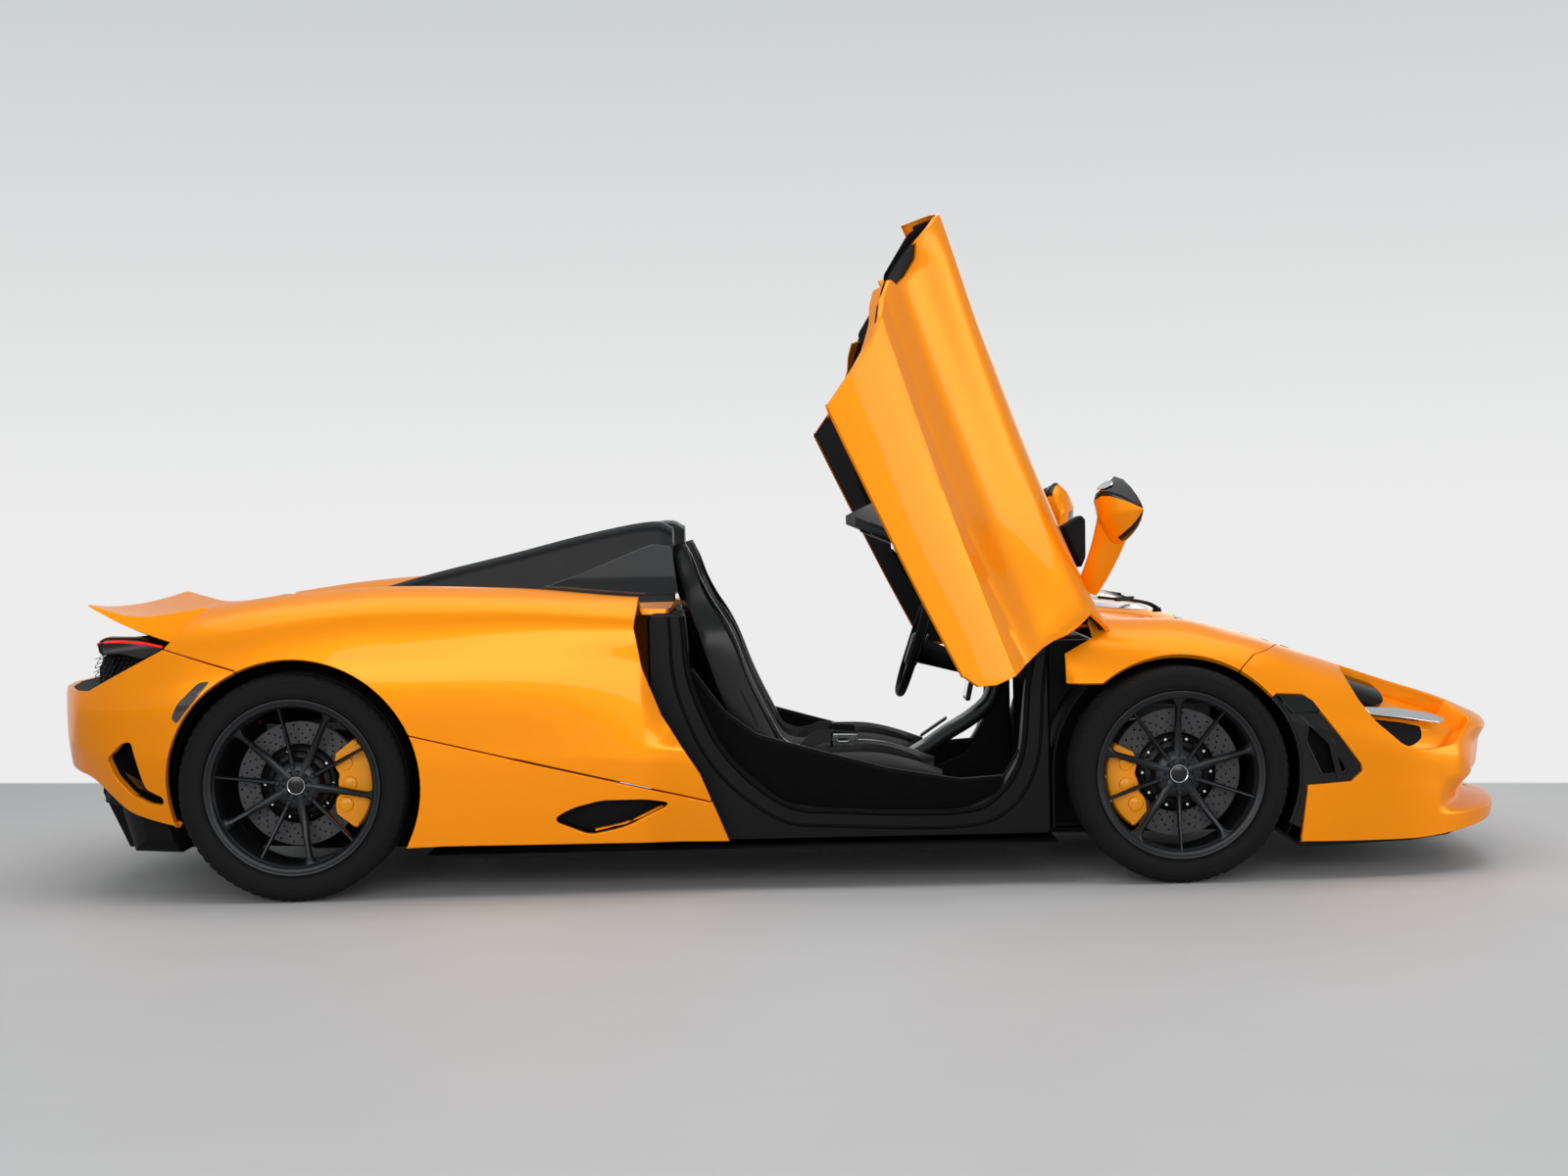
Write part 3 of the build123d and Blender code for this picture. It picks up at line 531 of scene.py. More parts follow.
def add_edges(shape, tris, flat_tris, depth, roll):
    """Roll the sheet's free edges over and down, except along the centre plane."""
    owner, corner = {}, {}
    for t, f in zip(tris, flat_tris):
        for i in range(3):
            owner[(f[i], f[(i + 1) % 3])] = f[(i + 2) % 3]
            corner.setdefault(f[i], t[i])
    free = {a: (b, third) for (a, b), third in owner.items() if (b, a) not in owner}
    place = {f: shape.verts[v] for f, v in corner.items()}
    ways = {}
    for a, (b, third) in free.items():
        run = (place[b] - place[a]).normalized()
        away = place[a] - place[third]
        away = (away - run * away.dot(run)).normalized()
        for i in (a, b):
            ways.setdefault(i, []).append(away)
    ring = {}
    for i, away in ways.items():
        n, p = shape.normals[corner[i]], place[i]
        mean = sum(away, Vector())
        mean = (mean - n * mean.dot(n)).normalized()
        spread = max(0.5, mean.dot(away[0]))
        if abs(p.y) < 1e-3:
            mean.y = 0.0
        levels = []
        for over, down in ((0.6, 0.15), (0.95, 0.6), (1.0, 1.0)):
            levels.append(p + mean * (roll * over / spread) - n * (roll * down))
        levels.append(levels[-1] - n * depth)
        ring[i] = len(shape.verts)
        shape.verts += levels
        shape.normals += [Vector((0, 0, 0))] * 4
    for a, (b, _) in free.items():
        if abs(place[a].y) < 1e-3 and abs(place[b].y) < 1e-3:
            continue
        chain_a = [corner[a]] + [ring[a] + k for k in range(4)]
        chain_b = [corner[b]] + [ring[b] + k for k in range(4)]
        for k in range(4):
            shape.faces.append((chain_b[k], chain_a[k], chain_a[k + 1], chain_b[k + 1]))
    shape.marks = [0] * len(shape.faces)


def flipped(shape):
    """The same sheet facing the other way."""
    shape.faces = [f[::-1] for f in shape.faces]
    shape.normals = [-n for n in shape.normals]
    return shape


SHARP = 35.0                                             # degrees between faces that shade as an edge


def quads(rows, count, looped=False, closed=True):
    """Faces between neighbours in rows of count places, the last row joined to the first when looped."""
    return [(k * count + i, (k + 1) % rows * count + i, (k + 1) % rows * count + (i + 1) % count,
             k * count + (i + 1) % count)
            for k in range(rows if looped else rows - 1) for i in range(count if closed else count - 1)]


def reversed_quads(rows, count):
    """The same faces of rows that aren't looped, facing the other way."""
    return [(a, d, c, b) for a, b, c, d in quads(rows, count)]


def sweep(rings, capped=True):
    """Skin through closed rings of equal length, its ends filled when capped."""
    count, last = len(rings[0]), (len(rings) - 1) * len(rings[0])
    faces = reversed_quads(len(rings), count)
    if capped:
        faces += [tuple(range(count))[::-1], tuple(range(last, last + count))]
    return outward(Shape().add([p for ring in rings for p in ring], faces))


def outward(shape):
    """The same closed shape with its faces turned outwards."""
    volume = 0.0
    for face in shape.faces:
        a = shape.verts[face[0]]
        for i in range(1, len(face) - 1):
            volume += a.dot(shape.verts[face[i]].cross(shape.verts[face[i + 1]]))
    if volume < 0:
        shape.faces = [f[::-1] for f in shape.faces]
    return shape


def prism(outline, low, high, frame, bevel=2.0, holes=()):
    """Plate of an outline between two heights, its rims bevelled; frame turns (p, q, height) into a place."""
    shape = Shape()
    levels = ((low, bevel), (low + bevel, 0.0), (high - bevel, 0.0), (high, bevel))
    caps = []
    for number, loop in enumerate((outline, *holes)):
        rings = [shrunk(loop, -grow if number else grow) if grow else loop for _, grow in levels]
        faces = reversed_quads(4, len(loop))
        if (area_of(loop) < 0) != bool(number):
            faces = [f[::-1] for f in faces]
        shape.add([frame(p, q, height) for ring, (height, _) in zip(rings, levels) for p, q in ring], faces)
        caps.append(rings)
    for level in (0, 3):
        points, found = triangulated([rings[level] for rings in caps], 1e-4)
        tris = [t if (area_of([points[i] for i in t]) > 0) == (level == 3) else t[::-1] for t, _ in found]
        shape.add([frame(p, q, levels[level][0]) for p, q in points], tris)
    return outward(welded(shape))


def welded(shape, reach=0.02):
    """Join vertices that stand at one place."""
    seen, number = {}, []
    verts, normals = [], []
    for v, n in zip(shape.verts, shape.normals):
        key = tuple(round(c / reach) for c in v)
        if key not in seen:
            seen[key] = len(verts)
            verts.append(v)
            normals.append(n)
        number.append(seen[key])
    shape.verts, shape.normals = verts, normals
    faces, marks = [], []
    for face, mark in zip(shape.faces, shape.marks):
        face = tuple(dict.fromkeys(number[i] for i in face))
        if len(face) > 2:
            faces.append(face)
            marks.append(mark)
    shape.faces, shape.marks = faces, marks
    return shape


def across(p, q, height):
    """Frame of a plate drawn in side view: (x, z), height along y."""
    return Vector((p, height, q))


def upwards(p, q, height):
    """Frame of a plate drawn in plan: (x, y), height along z."""
    return Vector((p, q, height))


def forwards(p, q, height):
    """Frame of a plate drawn from the front: (y, z), height along x."""
    return Vector((height, p, q))


def around(count):
    """Angles of a full turn in equal steps, in radians."""
    return [math.tau * k / count for k in range(count)]


def turned(profile, place=Matrix.Identity(4), steps=64, closed=False):
    """Surface of revolution of (radius, height) points about the local z axis."""
    points = [place @ Vector((r * math.cos(a), r * math.sin(a), z)) for a in around(steps) for r,
              z in profile]
    return outward(welded(Shape().add(points, quads(steps, len(profile), looped=True, closed=closed))))


def tube(path, radius, sides=12, closed=False):
    """Round bar along a path, its radius one number or one for each point."""
    points = [Vector(p) for p in path]
    radii = radius if isinstance(radius, list) else [radius] * len(points)
    rings, up = [], None
    for i, (p, r) in enumerate(zip(points, radii)):
        before = points[i - 1] if i or closed else p
        after = points[(i + 1) % len(points)] if i < len(points) - 1 or closed else p
        along = (after - before).normalized()
        up = along.orthogonal() if up is None else up
        up = (up - along * up.dot(along)).normalized()
        aside = along.cross(up)
        rings.append([p + (up * math.cos(a) + aside * math.sin(a)) * r for a in around(sides)])
    return outward(welded(sweep(rings + rings[:1], capped=False))) if closed else sweep(rings)


def heading(path, k):
    """Direction of a path at its point k."""
    return (path[min(k + 1, len(path) - 1)] - path[max(k - 1, 0)]).normalized()


def oval(wide, tall, power, count):
    """(across, up) points of an oval, the squarer the lower its power."""
    return [(wide * math.copysign(abs(math.cos(a)) ** power, math.cos(a)),
             tall * math.copysign(abs(math.sin(a)) ** power, math.sin(a))) for a in around(count)]


def smoothed(points, count=6, closed=False):
    """Curve through points with count places between each two."""
    points = [Vector(p) for p in points]
    n = len(points)
    result = []
    for i in range(n if closed else n - 1):
        p1, p2 = points[i], points[(i + 1) % n]
        p0 = points[i - 1] if i or closed else p1 * 2 - p2
        p3 = points[(i + 2) % n] if i + 2 < n or closed else p2 * 2 - p1
        for k in range(count):
            t = k / count
            result.append(p1 + (p2 - p0) * (t / 2) + (p0 * 2 - p1 * 5 + p2 * 4 - p3) * (t * t / 2)
                          + (p1 * 3 - p0 - p2 * 3 + p3) * (t ** 3 / 2))
    return result if closed else result + [points[-1]]


def linked(name, data):
    """A new object in the scene."""
    item = bpy.data.objects.new(name, data)
    bpy.context.scene.collection.objects.link(item)
    return item


def make(name, shape, finish, nodes="", rides="chassis", slot=None):
    """Turn a shape into a piece of one finish or two that rides on a body and stands for the nodes given."""
    mesh = bpy.data.meshes.new(name)
    mesh.from_pydata([v * MM for v in shape.verts], [], shape.faces)
    mesh.polygons.foreach_set("use_smooth", [True] * len(mesh.polygons))
    mesh.polygons.foreach_set("material_index", shape.marks)
    for key in finish.split():
        mesh.materials.append(M[key])
    if any(n.length > 0 for n in shape.normals):
        mesh.normals_split_custom_set_from_vertices(shape.normals)
    else:
        mesh.set_sharp_from_angle(angle=math.radians(SHARP))
    mesh.update()
    piece = linked(name, mesh)
    finish_piece(piece, rides, nodes)
    return piece


def make_sides(name, shape, finish, nodes="", rides="chassis", slot=None):
    """A right piece and its twin; {} in a node's or body's name becomes the side."""
    for which, part in (("right", shape), ("left", shape.mirrored())):
        make(f"{name}_{which}", part, finish, nodes.format(which), rides.format(which), slot)


def finish_piece(piece, rides, nodes=""):
    """Hang a piece on the body it rides on, and hide the frame's nodes it replaces."""
    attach(piece, rides)
    if nodes:
        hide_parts(*nodes.split())


# ---- node trees ----
class Value:
    """A socket that can be used in Python arithmetic."""

    def __init__(self, owner, socket):
        self.owner, self.socket = owner, socket

    def maths(self, operation, *others, clamp=False):
        return self.owner.node("ShaderNodeMath", {"operation": operation, "use_clamp": clamp}, self, *others)

    def __add__(self, other):
        return self.maths("ADD", other)

    def __mul__(self, other):
        return self.maths("MULTIPLY", other)

    def __sub__(self, other):
        return self.maths("SUBTRACT", other)

    def __rsub__(self, other):
        return self.owner.node("ShaderNodeMath", {"operation": "SUBTRACT"}, other, self)

    def __gt__(self, other):
        return self.maths("GREATER_THAN", other)

    def wave(self):
        return self.maths("SINE")

    def clamped(self):
        return self.maths("ADD", 0.0, clamp=True)

    __radd__ = __add__
    __rmul__ = __mul__


class Nodes:
    """A node tree, and what feeds its sockets."""

    def __init__(self, tree):
        self.tree = tree

    def feed(self, socket, value):
        if isinstance(value, Value):
            self.tree.links.new(value.socket, socket)
        elif hasattr(socket.default_value, "__len__") and len(value) == 3 and len(socket.default_value) == 4:
            socket.default_value = (*value, 1.0)
        else:
            socket.default_value = value

    def node(self, kind, settings=None, *values, output=0, **named):
        """Any node: its settings first, then what feeds its sockets, by order or by name."""
        node = self.tree.nodes.new(kind)
        for key, value in (settings or {}).items():
            setattr(node, key, value)
        pairs = list(zip(node.inputs, values))
        for socket, value in pairs + [(node.inputs[key.replace("_", " ")], value) for key,
                                      value in named.items()]:
            self.feed(socket, value)
        return Value(self, node.outputs[output])

    def seen(self):
        """1 for the rays that see the backdrop."""
        return sum(self.node("ShaderNodeLightPath", output=kind) for kind in SEEN_BY).clamped()


# ---- repeated parts ----
def flatten_modifiers(piece):
    """Turn the evaluated piece into its own plain mesh."""
    bpy.context.view_layer.update()
    mesh = bpy.data.meshes.new_from_object(piece.evaluated_get(bpy.context.evaluated_depsgraph_get()))
    piece.modifiers.clear()
    piece.data = mesh


class Pattern(Nodes):
    """A Geometry Nodes tree with named inputs, whose result becomes a plain mesh."""

    def __init__(self, name, **inputs):
        super().__init__(bpy.data.node_groups.new(name, "GeometryNodeTree"))
        self.tree.interface.new_socket(name="Geometry", in_out="OUTPUT", socket_type="NodeSocketGeometry")
        self.values = inputs
        for label, value in inputs.items():
            kind = {int: "Int", float: "Float", tuple: "Vector"}[type(value)]
            self.tree.interface.new_socket(name=label, in_out="INPUT", socket_type=f"NodeSocket{kind}")
        self.start = self.tree.nodes.new("NodeGroupInput")

    def __getitem__(self, label):
        return Value(self, self.start.outputs[label])

    def grown(self, name, geometry, material, frame):
        """The evaluated pattern as a plain piece, each millimetre point turned by frame into its place."""
        real = self.node("GeometryNodeRealizeInstances", Geometry=geometry)
        done = self.node("GeometryNodeSetMaterial", Geometry=real, Material=material)
        self.feed(self.tree.nodes.new("NodeGroupOutput").inputs[0], done)
        piece = linked(name, bpy.data.meshes.new(name))
        modifier = piece.modifiers.new(self.tree.name, "NODES")
        modifier.node_group = self.tree
        for item in self.tree.interface.items_tree:
            if item.in_out == "INPUT":
                modifier[item.identifier] = self.values[item.name]
        flatten_modifiers(piece)
        for vertex in piece.data.vertices:
            vertex.co = frame(*vertex.co) * MM
        piece.data.polygons.foreach_set("use_smooth", [True] * len(piece.data.polygons))
        piece.data.set_sharp_from_angle(angle=math.radians(SHARP))
        return piece


def slats(name, count, first, step, section, length, tilt, material):
    """A row of rounded slats, each as long as given, turned by tilt."""
    p = Pattern("slat_row", Count=count, First=first, Step=step, Section=(*section, length), Tilt=tilt)
    row = p.node("GeometryNodeMeshLine", {"mode": "OFFSET"}, Count=p["Count"], Start_Location=p["First"],
                 Offset=p["Step"])
    bar = p.node("GeometryNodeMeshCylinder", Vertices=12, Radius=1.0, Depth=1.0)
    many = p.node("GeometryNodeInstanceOnPoints", Points=row, Instance=bar, Rotation=p["Tilt"],
                  Scale=p["Section"])
    return p.grown(name, many, material, lambda x, y, z: Vector((x, y, z)))


def honeycomb(name, cell, outline, frame, material, wire=1.5):
    """Hexagonal wire mesh inside an outline, stood in a frame."""
    (low_p, low_q), (high_p, high_q) = np.min(outline, axis=0), np.max(outline, axis=0)
    rows = int((high_q - low_q) / (cell * 0.866)) + 4
    columns = int((high_p - low_p) / cell) + rows + 4
    p = Pattern("honeycomb", Width=cell * (columns - 1), Height=cell * (rows - 1), Columns=columns, Rows=rows,
                Wire=wire)
    sheet = p.node("GeometryNodeMeshGrid", Size_X=p["Width"], Size_Y=p["Height"], Vertices_X=p["Columns"],
                   Vertices_Y=p["Rows"])
    cells = p.node("GeometryNodeDualMesh",
                   Mesh=p.node("GeometryNodeTriangulate", {"quad_method": "FIXED"}, Mesh=sheet))
    ring = p.node("GeometryNodeCurvePrimitiveCircle", Resolution=4, Radius=p["Wire"])
    wires = p.node("GeometryNodeCurveToMesh", Curve=p.node("GeometryNodeMeshToCurve", Mesh=cells),
                   Profile_Curve=ring)
    middle_p, middle_q = (low_p + high_p) / 2, (low_q + high_q) / 2

    def leaning(x, y, z):
        return Vector((middle_p + x + y * 0.5, middle_q + y * 0.866, z))

    piece = p.grown(name, wires, material, leaning)
    work = bmesh.new()
    work.from_mesh(piece.data)
    centres = np.array([tuple(face.calc_center_median())[:2] for face in work.faces]) / MM
    bmesh.ops.delete(work, geom=[f for f, keep in zip(work.faces, inside(outline, centres)) if not keep],
                     context="FACES")
    for vertex in work.verts:
        vertex.co = frame(*(vertex.co / MM)) * MM
    work.normal_update()
    work.to_mesh(piece.data)
    work.free()
    return piece


# ---- materials ----
class Finish(Nodes):
    """One material and the nodes that make it."""

    def __init__(self, name, **settings):
        self.material = bpy.data.materials.new(name)
        self.material.use_nodes = True
        super().__init__(self.material.node_tree)
        self.shader = next(n for n in self.tree.nodes if n.type == "BSDF_PRINCIPLED")
        self.set(**settings)

    def set(self, **settings):
        for name, value in settings.items():
            self.feed(self.shader.inputs[name.replace("_", " ").title().replace("Ior", "IOR")], value)

    def place(self):
        """Object coordinates, in metres."""
        return self.node("ShaderNodeTexCoord", output=3)

    def axis(self, number):
        """One of the object coordinates."""
        return self.node("ShaderNodeSeparateXYZ", None, self.place(), output=number)

    def noise(self, scale, detail, where=None):
        return self.node("ShaderNodeTexNoise", Vector=where or self.place(), Scale=scale, Detail=detail)

    def mix(self, factor, a, b):
        """Colour a where factor is 0, b where it is 1."""
        node = self.tree.nodes.new("ShaderNodeMix")
        node.data_type = "RGBA"
        for number, value in ((0, factor), (6, a), (7, b)):
            self.feed(node.inputs[number], value)
        return Value(self, node.outputs[2])

    def lit(self, mask, code):
        """Show a plain colour where the mask is 1 to the rays that see the backdrop."""
        glow = self.node("ShaderNodeEmission", Color=(*tone(code), 1.0))
        join = self.node("ShaderNodeMixShader", None, self.seen() * mask, Value(self, self.shader.outputs[0]),
                         glow)
        self.feed(self.tree.nodes["Material Output"].inputs["Surface"], join)

    def bump(self, height, depth):
        """Height between 0 and 1, so many metres deep."""
        self.set(Normal=self.node("ShaderNodeBump", Height=height, Distance=depth, Strength=1.0))


def tone(code):
    """Linear colour from a screen colour's hexadecimal code; a linear colour stays as it is."""
    if not isinstance(code, str):
        return tuple(code)
    parts = [int(code[i:i + 2], 16) / 255 for i in (0, 2, 4)]
    return tuple(p / 12.92 if p <= 0.04045 else ((p + 0.055) / 1.055) ** 2.4 for p in parts)


def shade(colour, share):
    """A linear colour made darker or lighter."""
    return tuple(min(1.0, c * share) for c in tone(colour))


def paint(name, code, flake=0.05):
    """Metallic lacquer: a fine flake under a clear coat."""
    f = Finish(name, Metallic=0.4, Specular_Ior_Level=0.08, Coat_Weight=0.22, Coat_Roughness=0.03)
    flakes = f.noise(2600.0, 1.0)
    f.set(Base_Color=f.mix(flakes, shade(code, 1 - flake), shade(code, 1 + flake)),
          Roughness=f.noise(900.0, 0.0) * 0.1 + 0.3)
    return f.material


def plain(name, code, roughness, metallic=0.0, grain=0.0, grain_scale=900.0, **extra):
    """Moulded or machined finish with a fine grain."""
    f = Finish(name, Metallic=metallic, **extra)
    cloud = f.noise(12.0, 3.0)
    f.set(Base_Color=f.mix(cloud, shade(code, 0.88), shade(code, 1.12)),
          Roughness=cloud * 0.08 + (roughness - 0.04))
    if grain:
        f.bump(f.noise(grain_scale, 2.0), grain)
    return f.material


def carbon_weave(name, gloss=0.25, pitch=1570.0):
    """Two-by-two twill in clear resin."""
    f = Finish(name, Specular_Ior_Level=0.2, Coat_Weight=0.08, Coat_Roughness=0.15)
    x, y, z = (f.axis(number) * pitch for number in (0, 1, 2))
    weave = (x + z).wave() * (x - z + y).wave() > 0.0
    f.set(Base_Color=f.mix(weave, (0.004, 0.004, 0.004), (0.009, 0.009, 0.01)),
          Roughness=weave * 0.12 + gloss)
    return f.material


def brushed(name, code, roughness, scale=(40.0, 900.0, 900.0)):
    """Metal with a fine directional grain."""
    f = Finish(name, Metallic=1.0)
    grain = f.noise(1.0, 3.0, f.node("ShaderNodeMapping", Vector=f.place(), Scale=scale))
    f.set(Base_Color=f.mix(grain, shade(code, 0.85), tone(code)), Roughness=grain * 0.2 + (roughness - 0.1))
    return f.material


def rubber(name):
    """Tyre rubber, a little dusty."""
    f = Finish(name, Specular_Ior_Level=0.15)
    dust = f.noise(25.0, 4.0)
    f.set(Base_Color=f.mix(dust, tone("0B0B0C"), tone("161616")), Roughness=dust * 0.15 + 0.68)
    f.bump(f.noise(1400.0, 2.0), 0.0001)
    return f.material


def suede(name, code):
    """Napped microfibre with brushed patches."""
    f = Finish(name, Sheen_Weight=0.12, Sheen_Roughness=0.4, Roughness=0.95, Specular_Ior_Level=0.08)
    f.set(Base_Color=f.mix(f.noise(18.0, 4.0), shade(code, 0.75), shade(code, 1.3)))
    f.bump(f.noise(2400.0, 3.0), 0.00025)
    return f.material


def leather(name, code):
    """Fine pebbled hide."""
    f = Finish(name, Specular_Ior_Level=0.15)
    cells = f.node("ShaderNodeTexVoronoi", {"feature": "SMOOTH_F1"}, Vector=f.place(), Scale=520.0)
    f.set(Base_Color=f.mix(f.noise(9.0, 3.0), shade(code, 0.85), shade(code, 1.15)),
          Roughness=cells * 0.15 + 0.42)
    f.bump(cells, 0.0004)
    return f.material


def webbing(name):
    """Ribbed belt strap."""
    f = Finish(name, Roughness=0.7, Sheen_Weight=0.2)
    ribs = (f.axis(0) * 2600.0 + f.axis(2) * 2600.0).wave()
    f.set(Base_Color=f.mix(ribs > 0.0, tone("151515"), tone("222223")))
    f.bump(ribs * 0.5 + 0.5, 0.0002)
    return f.material


def tinted(name, code, alpha):
    """Glass or clear plastic, seen through by its alpha."""
    f = Finish(name, Base_Color=tone(code), Roughness=0.02, Alpha=alpha, Coat_Weight=1.0, Coat_Roughness=0.01)
    f.material.surface_render_method = "BLENDED"
    return f.material


def glowing(name, code, strength):
    """Lens with a light behind it."""
    return Finish(name, Base_Color=tone(code), Roughness=0.1, Coat_Weight=1.0, Emission_Color=tone(code),
                  Emission_Strength=strength).material


M = {}


def colour(name, description, code):
    """A colour that the panel shows."""
    return bpy.props.FloatVectorProperty(name=name, description=description, subtype="COLOR", size=3, min=0.0,
                                         max=1.0, default=tone(code))


class FinishSettings(bpy.types.PropertyGroup):
    """Colours of the car"""
    lacquer: colour("Lacquer", "Body colour", "FC9204")
    calipers: colour("Calipers", "Brake caliper colour", "FF9C08")
    hide: colour("Leather", "Seat bolster and dashboard leather", "090909")


def mix_materials(settings):
    """Every finish on the car, by name."""
    M.update(
        paint=paint("orange_lacquer", settings.lacquer),
        black=plain("black_gloss", "050506", 0.2, Specular_Ior_Level=0.3, Coat_Weight=0.15,
                    Coat_Roughness=0.04),
        satin=plain("satin_graphite", "121315", 0.4, 0.2, Specular_Ior_Level=0.2),
        trim=plain("moulded_black", "0C0C0D", 0.62, grain=0.0002, grain_scale=1400.0, Specular_Ior_Level=0.1),
        seal=plain("rubber_seal", "050505", 0.75, Specular_Ior_Level=0.12),
        carbon=carbon_weave("carbon_twill"),
        glass=tinted("clear_glass", "8FA2A6", 0.16),
        dark_glass=tinted("tinted_glass", "23282B", 0.62),
        rim=plain("rim_graphite", "1F2022", 0.36, 0.5, Specular_Ior_Level=0.3, Coat_Weight=0.1,
                  Coat_Roughness=0.2),
        tyre=rubber("tyre_rubber"),
        disc=plain("ceramic_disc", "363638", 0.5, 0.3),
        bell=plain("black_bell", "0B0B0C", 0.4, 0.3, Specular_Ior_Level=0.2),
        caliper=plain("caliper_orange", settings.calipers, 0.3, Specular_Ior_Level=0.15, Coat_Weight=0.25,
                      Coat_Roughness=0.05),
        alloy=brushed("bare_alloy", "A9ABAE", 0.35),
        chrome=brushed("polished_metal", "E2E4E6", 0.12),
        steel=brushed("exhaust_steel", "8C8680", 0.3),
        suede=suede("black_suede", "0B0B0C"),
        leather=leather("black_leather", settings.hide),
        lens_red=glowing("red_light", "E01008", 1.2),
        lens_grey=tinted("grey_lens", "2E3032", 0.9),
        lens_dark=plain("smoked_lens", "0A0806", 0.1, Specular_Ior_Level=0.15, Coat_Weight=0.1,
                        Coat_Roughness=0.01),
        jamb=plain("jamb_black", "060607", 0.42, Specular_Ior_Level=0.12),
        screen=plain("display_glass", "08090B", 0.08, Coat_Weight=1.0, Coat_Roughness=0.01),
        webbing=webbing("belt_webbing"),
        plate=plain("blank_plate", "D9D9D4", 0.45),
        mirror=Finish("mirror_glass", Base_Color=(0.85, 0.87, 0.9), Metallic=1.0, Roughness=0.02).material,
        carpet=suede("carpet", "141415"),
        wire=plain("mesh_wire", "303133", 0.35, 0.5),
        cast=plain("cast_alloy", "6E7073", 0.5, 0.8, grain=0.0002),
    )


FITTINGS = (
    # start of the frame node's name, finish
    ("engine", "cast"), ("luggage_bay", "carpet"), ("floor_pan", "trim"), ("suspension", "cast"),
    ("upright", "cast"),
    ("arch_liners", "trim"), ("rear_grille", "trim"), ("exhausts", "steel"),
)


class SUPERCAR_OT_finishes(bpy.types.Operator):
    """Mix the finishes and put them on the frame's own pieces"""
    bl_idname = "supercar.finishes"
    bl_label = "Finishes"

    def execute(self, context):
        mix_materials(context.scene.supercar_finish)
        for start, finish in FITTINGS:
            nodes = [node for name, node in frame["nodes"].items() if name.startswith(start)]
            if not nodes:
                raise RuntimeError(f"the frame has no node that starts with {start}")
            for node in nodes:
                for place in node.material_slots:
                    place.material = M[finish]
        return {"FINISHED"}


# ---- outlines shared by the panels, in side view (x, z) ----
QUARTER_EDGE = ((-154, 142), (-240, 357), (-352, 539), (-408, 683), (-430, 805), (-419, 888))
DOOR_FRONT_EDGE = ((945, 800), (945, 745), (853, 694), (852, 612), (848, 572), (837, 515), (831, 455),
                   (829, 395),
                   (830, 340), (828, 290), (815, 222), (786, 168), (736, 143))
WING_SHUT = ((-1740, 887), (-1855, 768), (-1617, 698))
HEADLAMP = ((1716, 624), (1740, 642), (1828, 634), (2013, 552), (2130, 462), (2052, 394), (1950, 380),
            (1882, 400),
            (1795, 478), (1748, 545))
SIDE_VENT = ((1584, 290), (1618, 292), (1717, 298), (1751, 326), (1747, 348), (1603, 543), (1574, 562),
             (1495, 567))
VENT_ARCH = 39.6                                         # where the side vent's top meets the arch, degrees
SILL_SHUT = ((-205, 270), (-693, 391), (-1111, 496))
SILL_INTAKE = ((-686, 230), (-626, 262), (-538, 283), (-400, 282), (-330, 270), (-400, 238), (-470, 205),
               (-575, 184))
REAR_VENT = ((-2038, 436), (-1986, 485), (-1957, 491), (-1930, 373), (-1918, 342), (-1866, 316), (-1868, 296),
             (-1907, 300), (-1968, 328), (-2016, 378))
FRONT_SHUT = ((1389, 637), (1397, 647), (1437, 683), (1535, 706))
BONNET_CORNERS = ((1340, 500), (2063, 333))              # plan of its side edge
PLATE_RECESS = ((0, 588), (262, 588), (262, 472), (0, 472))
NOSE_MOUTH = ((0, 268), (200, 264), (232, 230), (215, 180), (0, 172))


def bonnet_edge(x):
    """y of the bonnet's side edge at x."""
    (x0, y0), (x1, y1) = BONNET_CORNERS
    return y0 + (y1 - y0) * (x - x0) / (x1 - x0)


def quarter_shape():
    """Right rear quarter: door edge, haunch, tail shut line, arch and sill."""
    x0, x1 = QUARTER_EDGE[-1][0], WING_SHUT[0][0]
    arch_points = arc(REAR_X, REAR_TYRE, REAR_ARCH, 112.4, 23.0)
    outline = side(SILL_SHUT[:1] + QUARTER_EDGE[1:])
    outline += top([(x0, 795), (x0, 598), (x1, 598), (x1, 730)])
    outline += side(WING_SHUT)
    outline += side(arch_points + list(SILL_SHUT[::-1]))
    return patch(outline)


def sill_shape():
    """Right sill between the door and the rear wheel, below the quarter panel."""
    arch_low = math.degrees(math.asin((150 - REAR_TYRE) / REAR_ARCH))
    outline = side(SILL_SHUT + tuple(arc(REAR_X, REAR_TYRE, REAR_ARCH, 23.0, arch_low)))
    outline += side(((-1010, 150), (-168, 142), (-154, 142)))
    return patch(outline, [side(rounded(SILL_INTAKE, 26))])


def fender_shape():
    """Right front wing top, from the door's corner to the nose."""
    outline = side(((866, 606), (975, 606)))
    outline += side(arc(FRONT_X, FRONT_TYRE, FRONT_ARCH, 129.4, 59.2))
    outline += side(FRONT_SHUT)
    outline += top(((1535, 737), (1450, bonnet_edge(1450)), (1340, 500), (1338, 619), (1005, 619),
                    (1005, 672),
                    (953, 672), (953, 742)))
    outline += side(((953, 795), (953, 745), (866, 697), (866, 606)))
    return patch(outline)


